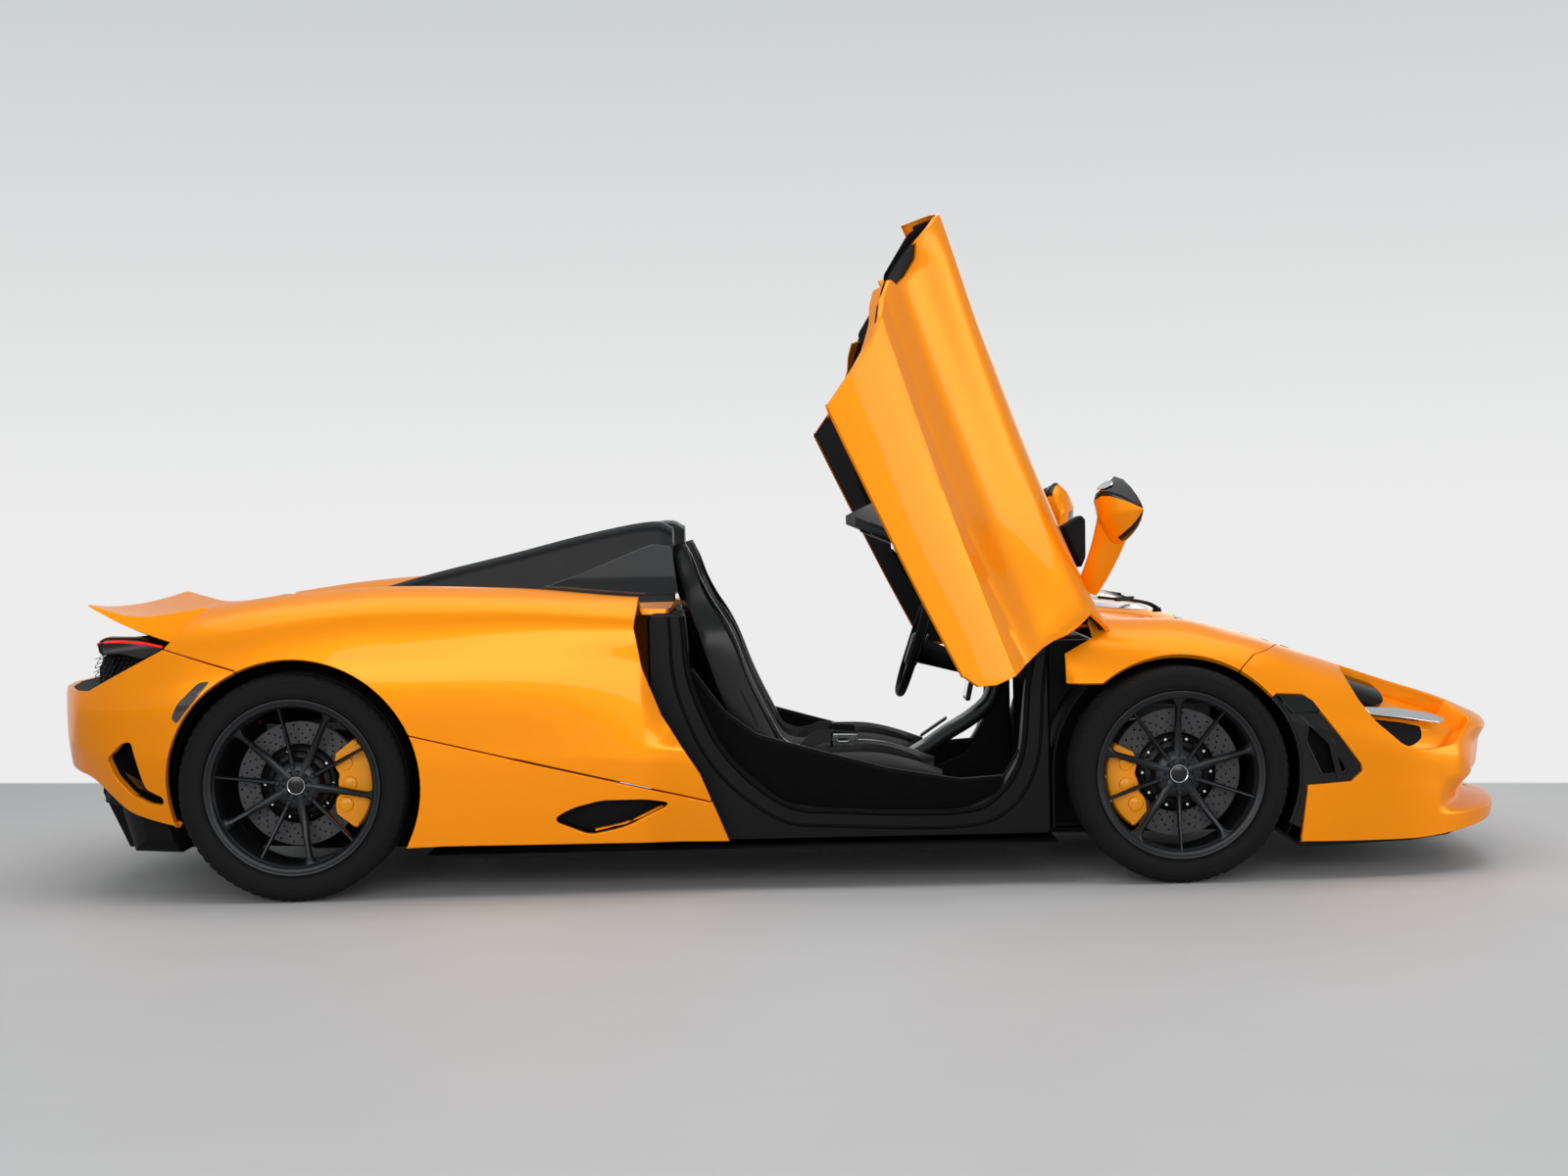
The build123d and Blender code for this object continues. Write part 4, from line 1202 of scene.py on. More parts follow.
def nose_shape():
    """Right half of the nose, from the arch round to its end face."""
    outline = side(((1562, 118),) + SIDE_VENT)
    outline += side(arc(FRONT_X, FRONT_TYRE, FRONT_ARCH, VENT_ARCH, 59.2))
    outline += side(FRONT_SHUT)
    outline += top(((1535, 737), (1450, bonnet_edge(1450)), (2063, 333), (2063, 0)))
    outline += line(2063, HALF_LENGTH, 0)
    outline += end(((0, 426),) + NOSE_MOUTH + ((0, 150),), True)
    outline += [(body.u[-1], v) for v in range(2350, 1460, -20)]
    outline += line(HALF_LENGTH, 1560, SILL)
    return patch(outline, [side(rounded(HEADLAMP, 18))], step=15.0)


def bonnet_shape():
    """Right half of the luggage lid."""
    (x0, y0), (x1, y1) = BONNET_CORNERS
    outline = top(((x0 + 4, 0), (x0 + 4, y0 - 2), (x1 - 3, y1 - 2), (x1 - 3, 0)))
    return patch(outline + line(x1 - 3, x0 + 4, 0))


def cowl_shape():
    """Right half of the scuttle panel below the windscreen."""
    plan = ((1336, 0), (1336, 492), (1336, 617), (1008, 617), (1008, 670), (903, 670), (935, 604),
            (1180, 330),
            (1238, 0))
    return patch(top(plan) + line(1238, 1336, 0))


def deck_shape():
    """Right half of the rear deck round its engine vent."""
    outline = line(-1060, -338, 0) + top(((-338, 0), (-338, 594), (-1735, 594), (-1735, 0)))
    outline += line(-1735, -1640, 0)
    outline += top(((-1640, 0), (-1640, 240), (-1600, 300), (-1130, 300), (-1060, 220), (-1060, 0)))
    return patch(outline)


def bumper_shape():
    """Right half of the rear bumper, round to the tail's end face."""
    outline = side(arc(REAR_X, REAR_TYRE, REAR_ARCH, 113.6, 201.4))
    outline += side(((-1824, 205), (-1898, 205), (-2030, 250), (-2130, 372)))
    outline += line(-2130, -HALF_LENGTH, SILL)
    outline += [(0.0, v) for v in range(1480, 2360, 20)]
    outline += end(((0, 432),) + PLATE_RECESS[::-1] + ((0, 640), (262, 640)), False)
    outline += side(((-HALF_LENGTH, 640), (-2100, 643)) + WING_SHUT[1:])
    return patch(outline, [side(rounded(REAR_VENT, 12))])


class SUPERCAR_OT_panels(bpy.types.Operator):
    """Make the painted body panels"""
    bl_idname = "supercar.panels"
    bl_label = "Body panels"

    def execute(self, context):
        for name, shape, node in (("quarter_panel", quarter_shape(), "rear_quarter_{}"),
                                  ("front_wing", fender_shape(), "front_fender_{}"),
                                  ("sill_panel", sill_shape(), "")):
            make_sides(name, shape, "paint", node)
        for name, shape, node, rides in (("nose_panel", nose_shape(), "nose", "chassis"),
                                         ("luggage_lid", bonnet_shape(), "bonnet", "bonnet_lid"),
                                         ("scuttle_panel", cowl_shape(), "", "chassis"),
                                         ("rear_deck_panel", deck_shape(), "rear_deck", "chassis"),
                                         ("rear_bumper_panel", bumper_shape(), "rear_bumper", "chassis")):
            make(name, shape.both(), "paint", node, rides)
        make("louvre_bed", prism(LOUVRE_BED, 800, 806, upwards), "trim")
        louvres = slats("engine_louvres", context.scene.supercar_shape.louvres, (-1112.0, 0.0, 866.0),
                        (-70.0, 0.0, -2.0), (27.0, 5.0), 560.0, (math.radians(90), math.radians(14), 0.0),
                        M["satin"])
        finish_piece(louvres, "chassis")
        return {"FINISHED"}


# ---- openings in the skin ----
LENS = ((1729, 610), (1742, 628), (1768, 628), (1826, 602), (1848, 572), (1845, 539), (1806, 530),
        (1756, 556))
LAMP_BLADE = ((1772, 524), (1877, 517), (2000, 494), (2046, 474), (2026, 464), (1907, 484), (1790, 500))
LAMP_POCKET = ((1790, 496), (1907, 480), (1972, 466), (1972, 428), (1930, 396), (1886, 406), (1806, 470))
VENT_BROW = ((1500, 563), (1595, 558), (1628, 512), (1539, 508))
VENT_FIN = ((1562, 500), (1584, 500), (1668, 418), (1694, 304), (1676, 302), (1650, 410))
VENT_MOUTH = ((1592, 492), (1630, 452), (1700, 352), (1712, 322), (1628, 314), (1578, 420))
SPLITTER = ((2200, 0), (2190, -320), (2150, -520), (2070, -690), (1920, -815), (1640, -890), (1560, -895),
            (1560, 0))
LOUVRE_BED = ((-1635, -296), (-1635, 296), (-1065, 296), (-1065, -296))
SILL_LIP = ((-560, 196), (-470, 212), (-352, 262), (-352, 250), (-430, 222), (-480, 206), (-560, 188))
REAR_BLADE = ((-2030, 398), (-1940, 352), (-1875, 314), (-1878, 298), (-1960, 330), (-2010, 368))
MARKER = ((-1823, 562), (-1802, 605), (-1737, 667), (-1700, 673), (-1780, 579), (-1806, 545))


def wall(outline, start, stop, out=-1):
    """Strip round an outline between two depths, facing into it, or out of it with out at 1."""
    loop = inset(outline, 1.5 * out)
    verts = [body.at(*place) + body.normal(*place) * out * far for place in loop for far in (start, stop)]
    faces = quads(len(loop), 2, looped=True, closed=False)
    if out > 0:
        faces = [(a, d, c, b) for a, b, c, d in faces]
    if area_of(loop) > 0:
        faces = [f[::-1] for f in faces]
    return Shape().add(verts, faces)


def well(outline, depth):
    """Wall and floor of a blind opening."""
    floor_part = patch(inset(outline, -3.0), depth=0, gap=0, lift=-depth, step=16.0)
    return wall(outline, 12, depth).join(floor_part)


def blade(points, lift, thickness):
    """Plate following the body between two lines of flat places."""
    return patch(points, depth=thickness, roll=2.0, gap=0, lift=lift, step=12.0)


def arch_band(x, z, radius, start, stop):
    """Dark wall that runs in from an arch's edge to the liner behind it."""
    rings = []
    for px, pz in arc(x, z, radius + 5, start, stop, 3.0):
        out = body.at(*body.on_side(px, pz)).y + 14
        rings.append([Vector((px + (px - x) * grow, y, pz + (pz - z) * grow))
                      for y, grow in ((out, 0.0), (-770, 0.0), (-770, 0.008), (out, 0.008))])
    return outward(sweep(rings))


def mouth_back():
    """Dark duct behind the nose's grille, right half."""
    outline = end(((0, 282), (215, 278), (250, 232), (228, 168), (0, 160)), True)
    return patch(outline, depth=0, gap=0, lift=-60, step=16.0)


FRONT_PLATE, PLATE_LEAN = (2270, 0, 347), 8.0            # middle of the front plate, and degrees off upright


def plate(half_y, low_z, high_z, low, high, bevel):
    """Rounded plate that faces forwards."""
    corners = ((-half_y, low_z), (-half_y, high_z), (half_y, high_z), (half_y, low_z))
    return prism(rounded(corners, 8), low, high, forwards, bevel)


class SUPERCAR_OT_openings(bpy.types.Operator):
    """Fill the lamps, vents and intakes behind the skin"""
    bl_idname = "supercar.openings"
    bl_label = "Lamps and vents"

    def execute(self, context):
        lamp = side(rounded(HEADLAMP, 18))
        vent_arch = tuple(arc(FRONT_X, FRONT_TYRE, FRONT_ARCH + 4, VENT_ARCH, -24.0))
        vent = side(SIDE_VENT + vent_arch + ((1562, 166),))
        for name, shape, *rest in (
                ("headlamp_socket", well(lamp, 46), "paint", "headlamps"),
                ("headlamp_lens", blade(side(rounded(LENS, 14)), -22, 22), "lens_dark"),
                ("headlamp_blade", blade(side(rounded(LAMP_BLADE, 8)), -14, 8), "chrome"),
                ("headlamp_pocket", blade(side(rounded(LAMP_POCKET, 12)), -38, 6), "trim", "", "chassis",
                 "black_gloss"),
                ("side_vent_panel", patch(vent, [side(rounded(VENT_MOUTH, 16))], lift=-14, depth=8, gap=-14),
                 "black"),
                ("side_vent_duct", well(side(rounded(VENT_MOUTH, 16)), 80), "trim"),
                ("side_vent_blades", blade(side(VENT_BROW), -3, 14).join(blade(side(VENT_FIN), -9, 26)),
                 "black"),
                ("sill_duct", well(side(rounded(SILL_INTAKE, 26)), 60), "trim"),
                ("sill_duct_lip", blade(side(SILL_LIP), -16, 14), "paint"),
                ("rear_vent_duct", well(side(rounded(REAR_VENT, 12)), 80), "trim"),
                ("rear_vent_blade", blade(side(REAR_BLADE), -30, 8), "black"),
                ("side_marker", blade(side(rounded(MARKER, 12)), 2.0, 8), "lens_grey"),
                ("wing_slots", self.slots(), "black")):
            make(name, shape.paired(), *rest)
        make("nose_duct", mouth_back().both(), "trim")
        bands = arch_band(FRONT_X, FRONT_TYRE, FRONT_ARCH, -30, 128)
        make("arch_bands", bands.join(arch_band(REAR_X, REAR_TYRE, REAR_ARCH, -26, 200)).paired(), "trim")
        splitter = SPLITTER + tuple((x, -y) for x, y in SPLITTER[-2:0:-1])
        make("front_splitter", prism(splitter, 100, 118, upwards, 4), "satin")
        front = Matrix.Translation(FRONT_PLATE) @ Matrix.Rotation(math.radians(PLATE_LEAN), 4, "Y")
        rear = plate(256, 478, 582, -2268, -2262, 1.5)
        make("blank_plates", plate(260, -55, 55, -3, 3, 1.5).moved(front).join(rear), "plate")
        recess = prism(((-262, 472), (-262, 588), (262, 588), (262, 472)), -2258, -2252, forwards, 1)
        make("plate_recess", recess.join(plate(262, -57, 57, -26, -3.2, 2).moved(front)), "trim")
        return {"FINISHED"}

    def slots(self):
        """Three small gills on top of the front wing."""
        shape = Shape()
        for x in (1440, 1502, 1563):
            shape.join(blade(top(((x - 13, 706), (x + 13, 702), (x + 13, 640), (x - 13, 644))), 3.0, 4))
        return shape


# ---- doors ----
DUCT_NOTCH = ((-350, 552), (-326, 575), (-330, 620), (-356, 672), (-402, 692))
DOOR_CARD = ((-255, 790), (-235, 620), (-140, 420), (20, 275), (190, 245), (540, 245), (650, 300), (715, 400),
             (735, 600), (770, 770))
MIRROR = ((536, 872), (528, 958), (572, 972), (640, 956), (718, 896), (704, 858), (612, 848))
MIRROR_SECTIONS = (
    # y, size, how far forward
    (-1052, 0.04, 14), (-1044, 0.18, 12), (-1030, 0.40, 8), (-1010, 0.64, 3), (-985, 0.86, -2),
    (-955, 1.0, 0),
    (-925, 0.98, 8), (-908, 0.86, 14), (-901, 0.70, 18),
)
DOOR_TOP_Y, FRAME_TOP_Y = 692.0, 720.0


def door_outline(notch=True):
    """The door's edge as flat places, shut."""
    low = [p for p in QUARTER_EDGE if p[1] < 550]
    middle = list(DUCT_NOTCH) if notch else [p for p in QUARTER_EDGE if 550 < p[1] < 700]
    high = [p for p in QUARTER_EDGE if p[1] > 700]
    outline = side(low + middle + high)
    high_edge = DOOR_TOP_Y if notch else FRAME_TOP_Y
    outline += top(((-419, 795), (-419, high_edge), (945, high_edge), (945, 742)))
    outline += side(DOOR_FRONT_EDGE)
    return outline + line(736, -150, SILL)


def opened(shape):
    """A right door piece, turned from shut to open."""
    there, back = Matrix.Translation(HINGE_AT), Matrix.Translation(-HINGE_AT)
    return shape.moved(there @ Matrix.Rotation(math.radians(DOOR_OPEN), 4, HINGE_ALONG) @ back)


def door_skin():
    """Painted skin, creased along the door's sharp line."""
    crease = [body.on_side(x, crease_z(x)) for x in range(-420, 900, 15)]
    return patch(door_outline(), crease=crease, depth=10)


def door_frame():
    """Black structure behind the skin, with a face towards the cabin."""
    outline = inset(door_outline(False), 14)
    outer = patch(outline, lift=-9, depth=17, gap=0)
    return outer.join(flipped(patch(outline, lift=-27, depth=0, gap=0)))


def door_flange():
    """Painted return along the door's rear edge, below and above the duct, that runs in from the skin."""
    shape = Shape()
    for points, start, stop in ((QUARTER_EDGE[:3], 0, 78), (QUARTER_EDGE[3:5], 40, 30)):
        edge = [body.at(*place) for place in side(points)]
        rings = []
        for k, p in enumerate(edge):
            deep = 8 + start + (stop - start) * k / (len(edge) - 1)
            rings.append([p + Vector((far, y, 0)) for y, far in ((6, 4), (deep, 16), (deep, 21), (6, 9))])
        shape.join(outward(sweep(rings)))
    return shape


def duct_lip():
    """Black throat where the door's air channel ends."""
    return patch(side(rounded(((-352, 545), (-300, 575), (-290, 660), (-318, 750), (-418, 792), (-430, 700)),
                              20)),
                 lift=-30, depth=0)


def card_shape():
    """Trim panel inside the door."""
    outline = side(rounded(DOOR_CARD, 40))
    return flipped(patch(outline, lift=-80, depth=0)).join(wall(outline, -28, -80, out=1))


def armrest_shape():
    """Padded armrest with a pull, standing in from the trim panel."""
    rest = rounded(((-120, 560), (-90, 600), (420, 545), (470, 500), (440, 470), (-60, 515)), 18)
    pull = rounded(((180, 660), (420, 640), (440, 665), (400, 690), (200, 705)), 10)
    inner_pull = rounded(((225, 672), (395, 656), (380, 676), (235, 688)), 5)
    return prism(rest, -782, -716, across, 12).join(prism(pull, -782, -742, across, 5, [inner_pull]))


SAIL = ((618, 838), (628, 925), (648, 935), (745, 868), (762, 832))


def mirror_parts():
    """The exterior mirror's painted shell, its arm, black foot and rim, and its glass, shut position."""
    loop = rounded(MIRROR, 16)
    middle = sum(p for p, _ in loop) / len(loop), sum(q for _, q in loop) / len(loop)
    shell = sweep([[Vector((middle[0] + ahead + (p - middle[0]) * grow, y,
                            middle[1] + (q - middle[1]) * grow))
                    for p, q in loop] for y, grow, ahead in MIRROR_SECTIONS])
    for number, face in enumerate(shell.faces):
        at = [loop[i % len(loop)][0] for i in face]
        outboard = max(shell.verts[i].y for i in face) < -950
        shell.marks[number] = int(max(at) < 556 or min(at) > 650 and outboard)
    path = smoothed(((826, -786, 802), (782, -828, 832), (724, -876, 866), (668, -918, 890),
                     (640, -940, 900)), 5)
    rings = []
    for k, p in enumerate(path):
        t, along, flat_way = k / (len(path) - 1), heading(path, k), Vector((1, 0, 0))
        flat_way = (flat_way - along * flat_way.dot(along)).normalized()
        up = along.cross(flat_way)
        rings.append([p + flat_way * a + up * b for a, b in oval(34 + 24 * t, 14 + 6 * t, 1, 20)])
    face = rounded(((-984, 905), (-966, 928), (-934, 936), (-926, 905), (-934, 878), (-966, 884)), 10)
    glass = prism(face, 532, 536, forwards, 1)
    sail = prism(rounded(SAIL, 8), -780, -752, across, 5)
    return shell, sweep(rings), sail, glass


class SUPERCAR_OT_doors(bpy.types.Operator):
    """Make both doors, open"""
    bl_idname = "supercar.doors"
    bl_label = "Doors"

    def execute(self, context):
        shell, arm, sail, glass = mirror_parts()
        repeater = turned([(0, 4), (6, 3.4), (8, 0), (0, 0)], Matrix.Translation((640, -1016, 905)) @
                          Matrix.Rotation(math.radians(90), 4, "X"), 20)
        for name, shape, finish, nodes, slot in (("door_skin", door_skin(), "paint", "door_shell_{}", None),
                                                 ("door_frame", door_frame(), "satin", "", None),
                                                 ("door_flange", door_flange(), "paint", "", None),
                                                 ("door_card", card_shape(), "suede", "door_trim_{}",
                                                  "trim_black"),
                                                 ("armrest", armrest_shape(), "leather", "", None),
                                                 ("duct_throat", duct_lip(), "trim", "", None),
                                                 ("mirror_shell", shell, "paint black", "mirror_{}", None),
                                                 ("mirror_arm", arm, "paint", "", None),
                                                 ("mirror_sail", sail, "trim", "", "black_gloss"),
                                                 ("mirror_glass", glass, "mirror", "", None),
                                                 ("side_repeater", repeater, "lens_grey", "", None)):
            make_sides(name, opened(shape), finish, nodes, "door_{}", slot)
        return {"FINISHED"}


# ---- tail ----
WING_PROFILE = ((-1752, 885), (-1810, 879), (-1882, 867), (-1930, 862), (-1973, 861), (-2010, 866),
                (-2043, 876),
                (-2085, 889), (-2120, 902), (-2122, 899), (-2085, 875), (-2024, 838), (-1950, 805),
                (-1885, 779),
                (-1866, 775), (-1850, 786), (-1790, 836))
TAIL_LAMP = ((-1878, 764), (-1949, 727), (-2039, 750), (-2096, 744), (-2103, 784), (-2078, 801), (-1977, 797))
CHEEK_MESH = ((-1952, 728), (-2040, 752), (-2112, 742), (-2134, 646), (-2068, 644))
RAMP = ((-1480, 116), (-1860, 130), (-2150, 345), (-2150, 357), (-1856, 142), (-1480, 128))
RAMP_FIN = ((-1700, 118), (-2060, 128), (-2140, 300), (-2140, 345), (-1860, 136))
FIN_PLACES = (-516, -260, 0, 260, 516)
RAMP_END = ((-1862, 124), (-2008, 132), (-2048, 270), (-2098, 286), (-2098, 316), (-1900, 212))
TAIL_MESH = ((-636, 656), (-636, 758), (636, 758), (636, 656))
BUTTRESS = (
    # x, top z, outer y, inner y
    (-322, 1100, -575, -440), (-386, 1121, -582, -440), (-587, 1087, -592, -450), (-834, 1028, -594, -465),
    (-1081, 972, -594, -490), (-1330, 905, -590, -520),
)
PANE = ((-752, 915), (-614, 960), (-460, 1022), (-386, 1050), (-325, 1042), (-306, 893), (-430, 893))


def wing_shape():
    """Rear wing blade, swept back towards the middle, its tips rounded over."""
    profile, middle_z, rings = smoothed([(x, 0, z) for x, z in WING_PROFILE], 2, closed=True), 860.0, []
    for k in range(-24, 25):
        t = k / 24
        back, rise, squeeze = -20 * (1 - t * t), -24 * (1 - t * t), 1.0 if abs(t) < 0.97 else 0.93
        rings.append([Vector((p.x + back, 705 * t,
                              middle_z + (p.z - middle_z) * squeeze + rise)) for p in profile])
    return sweep(rings)


def buttress_shape():
    """Right flying buttress, thin-walled to the eye, its top rounded."""
    rows = smoothed([(x, z, outer) for x, z, outer, _ in BUTTRESS], 5)
    inner_rows = smoothed([(x, z, inner) for x, z, _, inner in BUTTRESS], 5)
    rings = []
    for (x, z, outer), (_, _, inner) in zip(rows, inner_rows):
        ring = [(outer, 868), (outer + 2, 900), (outer + 5, z - 34), (outer + 9, z - 18), (outer + 18, z - 6),
                (outer + 32, z - 0.5), (outer + 60, z), (inner - 40, z - 3), (inner - 14, z - 12),
                (inner - 4, z - 30), (inner, 900), (inner, 868)]
        rings.append([Vector((x, y, max(z, 868 + 0.01 * n))) for n, (y, z) in enumerate(ring)])
    return sweep(rings)


def lamp_shape():
    """Right tail lamp's dark housing."""
    return sweep([[Vector((-1990 + (p + 1990) * grow, y, 752 + (q - 752) * grow)) for p,
                   q in rounded(TAIL_LAMP, 16)]
                  for y, grow in ((-646, 1.0), (-700, 0.98), (-714, 0.94), (-719, 0.86))])


LAMP_LINE = ((-1896, -716, 766), (-1960, -719, 780), (-2040, -719, 786), (-2088, -712, 782),
             (-2101, -690, 776),
             (-2102, -646, 770))
LAMP_BACK = ((-1858, 764), (-1950, 800), (-2070, 790), (-2120, 700), (-2120, 640), (-2000, 640))
VANE_SECTIONS = ((-516, 1.0, 0), (-660, 1.0, 0), (-740, 0.8, 26), (-790, 0.55, 50))     # y, size, lift


class SUPERCAR_OT_tail(bpy.types.Operator):
    """Make the wing, buttresses, tail lamps and diffuser"""
    bl_idname = "supercar.tail"
    bl_label = "Tail"

    def execute(self, context):
        ramp = prism(RAMP, -520, 520, across)
        for y in FIN_PLACES:
            ramp.join(prism(RAMP_FIN, y - 4, y + 4, across, 1.5))
        end_piece = outward(sweep([[Vector((-1862 + (x + 1862) * size, y, z + lift)) for x, z in RAMP_END]
                                   for y, size, lift in VANE_SECTIONS]))
        backing = prism(LAMP_BACK, -604, -598, across, 1)
        backing.join(prism(((-1640, -598), (-1640, 598), (-2112, 598), (-2112, -598)), 632, 638, upwards, 1))
        for name, shape, *rest in (
                ("rear_wing_blade", wing_shape(), "paint", "rear_wing", "tail_wing"),
                ("flying_buttresses", buttress_shape().paired(), "satin"),
                ("buttress_panes", prism(rounded(PANE, 8), -600, -594.5, across, 1.0).paired(), "dark_glass",
                 "buttress_glass"),
                ("tail_lamp_housings", lamp_shape().paired(), "black", "tail_lamps"),
                ("tail_lamp_lines", tube(smoothed(LAMP_LINE, 5), 4.0, 8).paired(), "lens_red"),
                ("tail_lamp_bar", tube(((-2101, -646, 770), (-2101, 646, 770)), 3.0, 8), "lens_red"),
                ("diffuser_vanes", ramp.join(end_piece.paired()), "trim", "diffuser", "chassis",
                 "satin_dark"),
                ("tail_backing", backing.paired().join(self.shelf().paired()), "trim")):
            make(name, shape, *rest)
        cell = context.scene.supercar_shape.mesh_cell / MM
        meshes = [("tail_mesh", TAIL_MESH, lambda p, q, h: Vector((-2102 - h, p, q)))]
        for which, sign in (("right", -1), ("left", 1)):
            meshes.append((f"cheek_mesh_{which}", CHEEK_MESH,
                           lambda p, q, h, sign=sign: Vector((p, sign * (652 + (p + 2134) * 0.28 + h), q))))
        for name, outline, stand in meshes:
            finish_piece(honeycomb(name, cell, outline, stand, M["wire"]), "chassis")
        return {"FINISHED"}

    def shelf(self):
        """Dark ledge running in from the rear bumper's top edge."""
        edge = [body.at(*place) for place in side(((-HALF_LENGTH, 640), (-2100, 643), (-1857, 766)))]
        verts = [p + Vector((0, reach, -3)) for p in edge for reach in (4, 420)]
        verts = [Vector((v.x, min(v.y, 0.0), v.z)) for v in verts]
        faces = [(2 * i, 2 * i + 1, 2 * i + 3, 2 * i + 2) for i in range(len(edge) - 1)]
        shape = Shape().add(verts, faces)
        a, b, c = (shape.verts[i] for i in faces[0][:3])
        return shape if (b - a).cross(c - a).z > 0 else flipped(shape)


class ShapeSettings(bpy.types.PropertyGroup):
    """Sizes of the repeated parts and the padding"""
    louvres: bpy.props.IntProperty(name="Louvres", description="Slats over the engine", default=7, min=3,
                                   max=12)
    mesh_cell: bpy.props.FloatProperty(name="Mesh cell", description="Width of one cell of the grille mesh",
                                       default=0.016, min=0.008, unit="LENGTH")
    spokes: bpy.props.IntProperty(name="Spokes", description="Forked spokes in each rim", default=5, min=3,
                                  max=9)
    pressure: bpy.props.FloatProperty(name="Stuffing", description="Pressure that swells the pads",
                                      default=4.0)


# ---- wheels ----
Wheel = namedtuple("Wheel", "end x hub_y tyre_r tyre_w rim_r barrel_r disc_r wide_angle thin_angle "
                            "caliper_angle")
FRONT = Wheel("front", FRONT_X, FRONT_HUB_Y, FRONT_TYRE, 245.0, 254.0, 229.0, 195.0, 90, 54, 192)
REAR = Wheel("rear", REAR_X, REAR_HUB_Y, REAR_TYRE, 295.0, 266.5, 241.5, 190.0, 64, 28, 0)
FLANGE = 17.0
DISH = ((0, 62), (60, 60), (120, 62), (235, 96), (400, 96))   # front of the spokes, (radius, outboard)
DISC_BACK, DISC_FRONT = -42.0, -10.0
HUB_BACK = 20.0
CAP_R = 28.0
PIN_R, PAD_R, PAD_WIDTH = 104.0, 142.0, 46.0
NUT_CIRCLE, NUTS = 57.0, 5


def wheel_place(wheel, side_sign):
    """Local z outboard and y up, at the wheel's middle."""
    turn = Matrix(((-side_sign, 0, 0), (0, 0, side_sign), (0, 1, 0))).to_4x4()
    return Matrix.Translation((wheel.x, side_sign * wheel.hub_y, wheel.tyre_r)) @ turn


def dish(radius):
    """How far outboard the spokes' front stands at a radius."""
    return float(np.interp(radius, [r for r, _ in DISH], [z for _, z in DISH]))


def tyre_shape(wheel):
    """Tyre with shoulder cuts, round grooves and a ribbed side wall."""
    half, bead, radius = wheel.tyre_w / 2, wheel.rim_r - 11, wheel.tyre_r
    wall = [(bead, half - FLANGE - 1), (wheel.rim_r + 1.0, half - FLANGE), (wheel.rim_r + 3.5, half - 9),
            (wheel.rim_r + 7, half - 5.5), (wheel.rim_r + 9.5, half - 6), (wheel.rim_r + 12, half - 3.5),
            (wheel.rim_r + 22, half - 1.2), (radius - 45, half - 0.3), (radius - 36, half - 0.8),
            (radius - 35, half - 1.8), (radius - 28, half - 2.6), (radius - 27, half - 1.8),
            (radius - 18, half - 6.0), (radius - 10, half - 11.0), (radius - 5, half - 17.0),
            (radius - 2.2, half - 24.0), (radius - 0.8, half - 31.0)]
    tread = []
    for middle in (0.66, 0.22):
        at = half * middle
        tread += [(radius - 0.4, at + 6.0), (radius - 6.5, at + 4.5), (radius - 6.5, at - 4.5),
                  (radius - 0.1, at - 6.0)]
    profile = wall + tread + [(r, -z) for r, z in reversed(wall + tread)]
    steps, count, verts = 216, len(profile), []
    for k, a in enumerate(around(steps)):
        for i, (r, z) in enumerate(profile):
            share = min(i, count - 1 - i)
            drop = 3.2 if k % 3 == 0 and 13 <= share <= 17 else 0.0
            twist = 0.006 * (share - 12) if share > 12 else 0.0
            verts.append(Vector(((r - drop) * math.cos(a + twist), (r - drop) * math.sin(a + twist), z)))
    return outward(Shape().add(verts, quads(steps, count, looped=True)))


def spoke(angle, widths, depth, rise):
    """One spoke: (radius, half width) rows give its plan, and it is rounded over its width."""
    rings, spin = [], math.radians(angle)
    for radius, half in widths:
        ring = []
        for share, drop in ((-1.0, 1.0), (-1.0, 0.42), (-0.82, 0.14), (-0.4, 0.0), (0.4, 0.0), (0.82, 0.14),
                            (1.0, 0.42), (1.0, 1.0)):
            aside, z = half * share, dish(radius) - 1.0 - depth * drop + rise * (1 - abs(share)) * 0.3
            ring.append(Vector((radius * math.cos(spin) - aside * math.sin(spin),
                                radius * math.sin(spin) + aside * math.cos(spin), z)))
        rings.append(ring)
    return sweep(rings)


def rim_shape(wheel, spokes):
    """Barrel, lip, spokes that fork into the lip, as many thin ones between them, and the hub."""
    half, edge = wheel.tyre_w / 2, wheel.rim_r
    profile = [(edge - 12.5, FLANGE - half), (edge, FLANGE - half), (edge, 9 - half), (edge - 3, 8 - half),
               (edge - 17, 14 - half), (wheel.barrel_r, 60 - half), (wheel.barrel_r - 3, 64 - half),
               (wheel.barrel_r - 3, half - 40), (wheel.barrel_r + 2, half - 34), (edge - 22, half - 16.5),
               (edge - 19, half - 13.5), (edge - 13, half - 13), (edge - 9, half - 10),
               (edge - 4.5, half - 8),
               (edge - 1, half - 8.6), (edge, half - 10), (edge, half - FLANGE), (edge - 12.5, half - FLANGE)]
    shape = turned(profile, steps=128, closed=True)
    reach = edge - 18
    fork = [(30, 19), (70, 15), (120, 11.5), (170, 9.5), (reach - 34, 9.5), (reach - 22, 12),
            (reach - 13, 19),
            (reach - 6, 31), (reach + 2, 50)]
    thin = [(30, 12), (80, 8.5), (140, 6.5), (reach - 20, 5.2), (reach - 6, 6.0), (reach + 2, 9)]
    for i in range(spokes):
        turn = 360 / spokes * i
        shape.join(spoke(wheel.wide_angle + turn, fork, 23, 3.0))
        shape.join(spoke(wheel.thin_angle + turn, thin, 22, 2.0))
    hub = [(0, 50), (38, 50), (40, 56), (46, 60.5), (62, 58.5), (70, 53), (74, 40), (82, HUB_BACK),
           (36, HUB_BACK),
           (36, 34), (0, 34)]
    return shape.join(turned(hub))


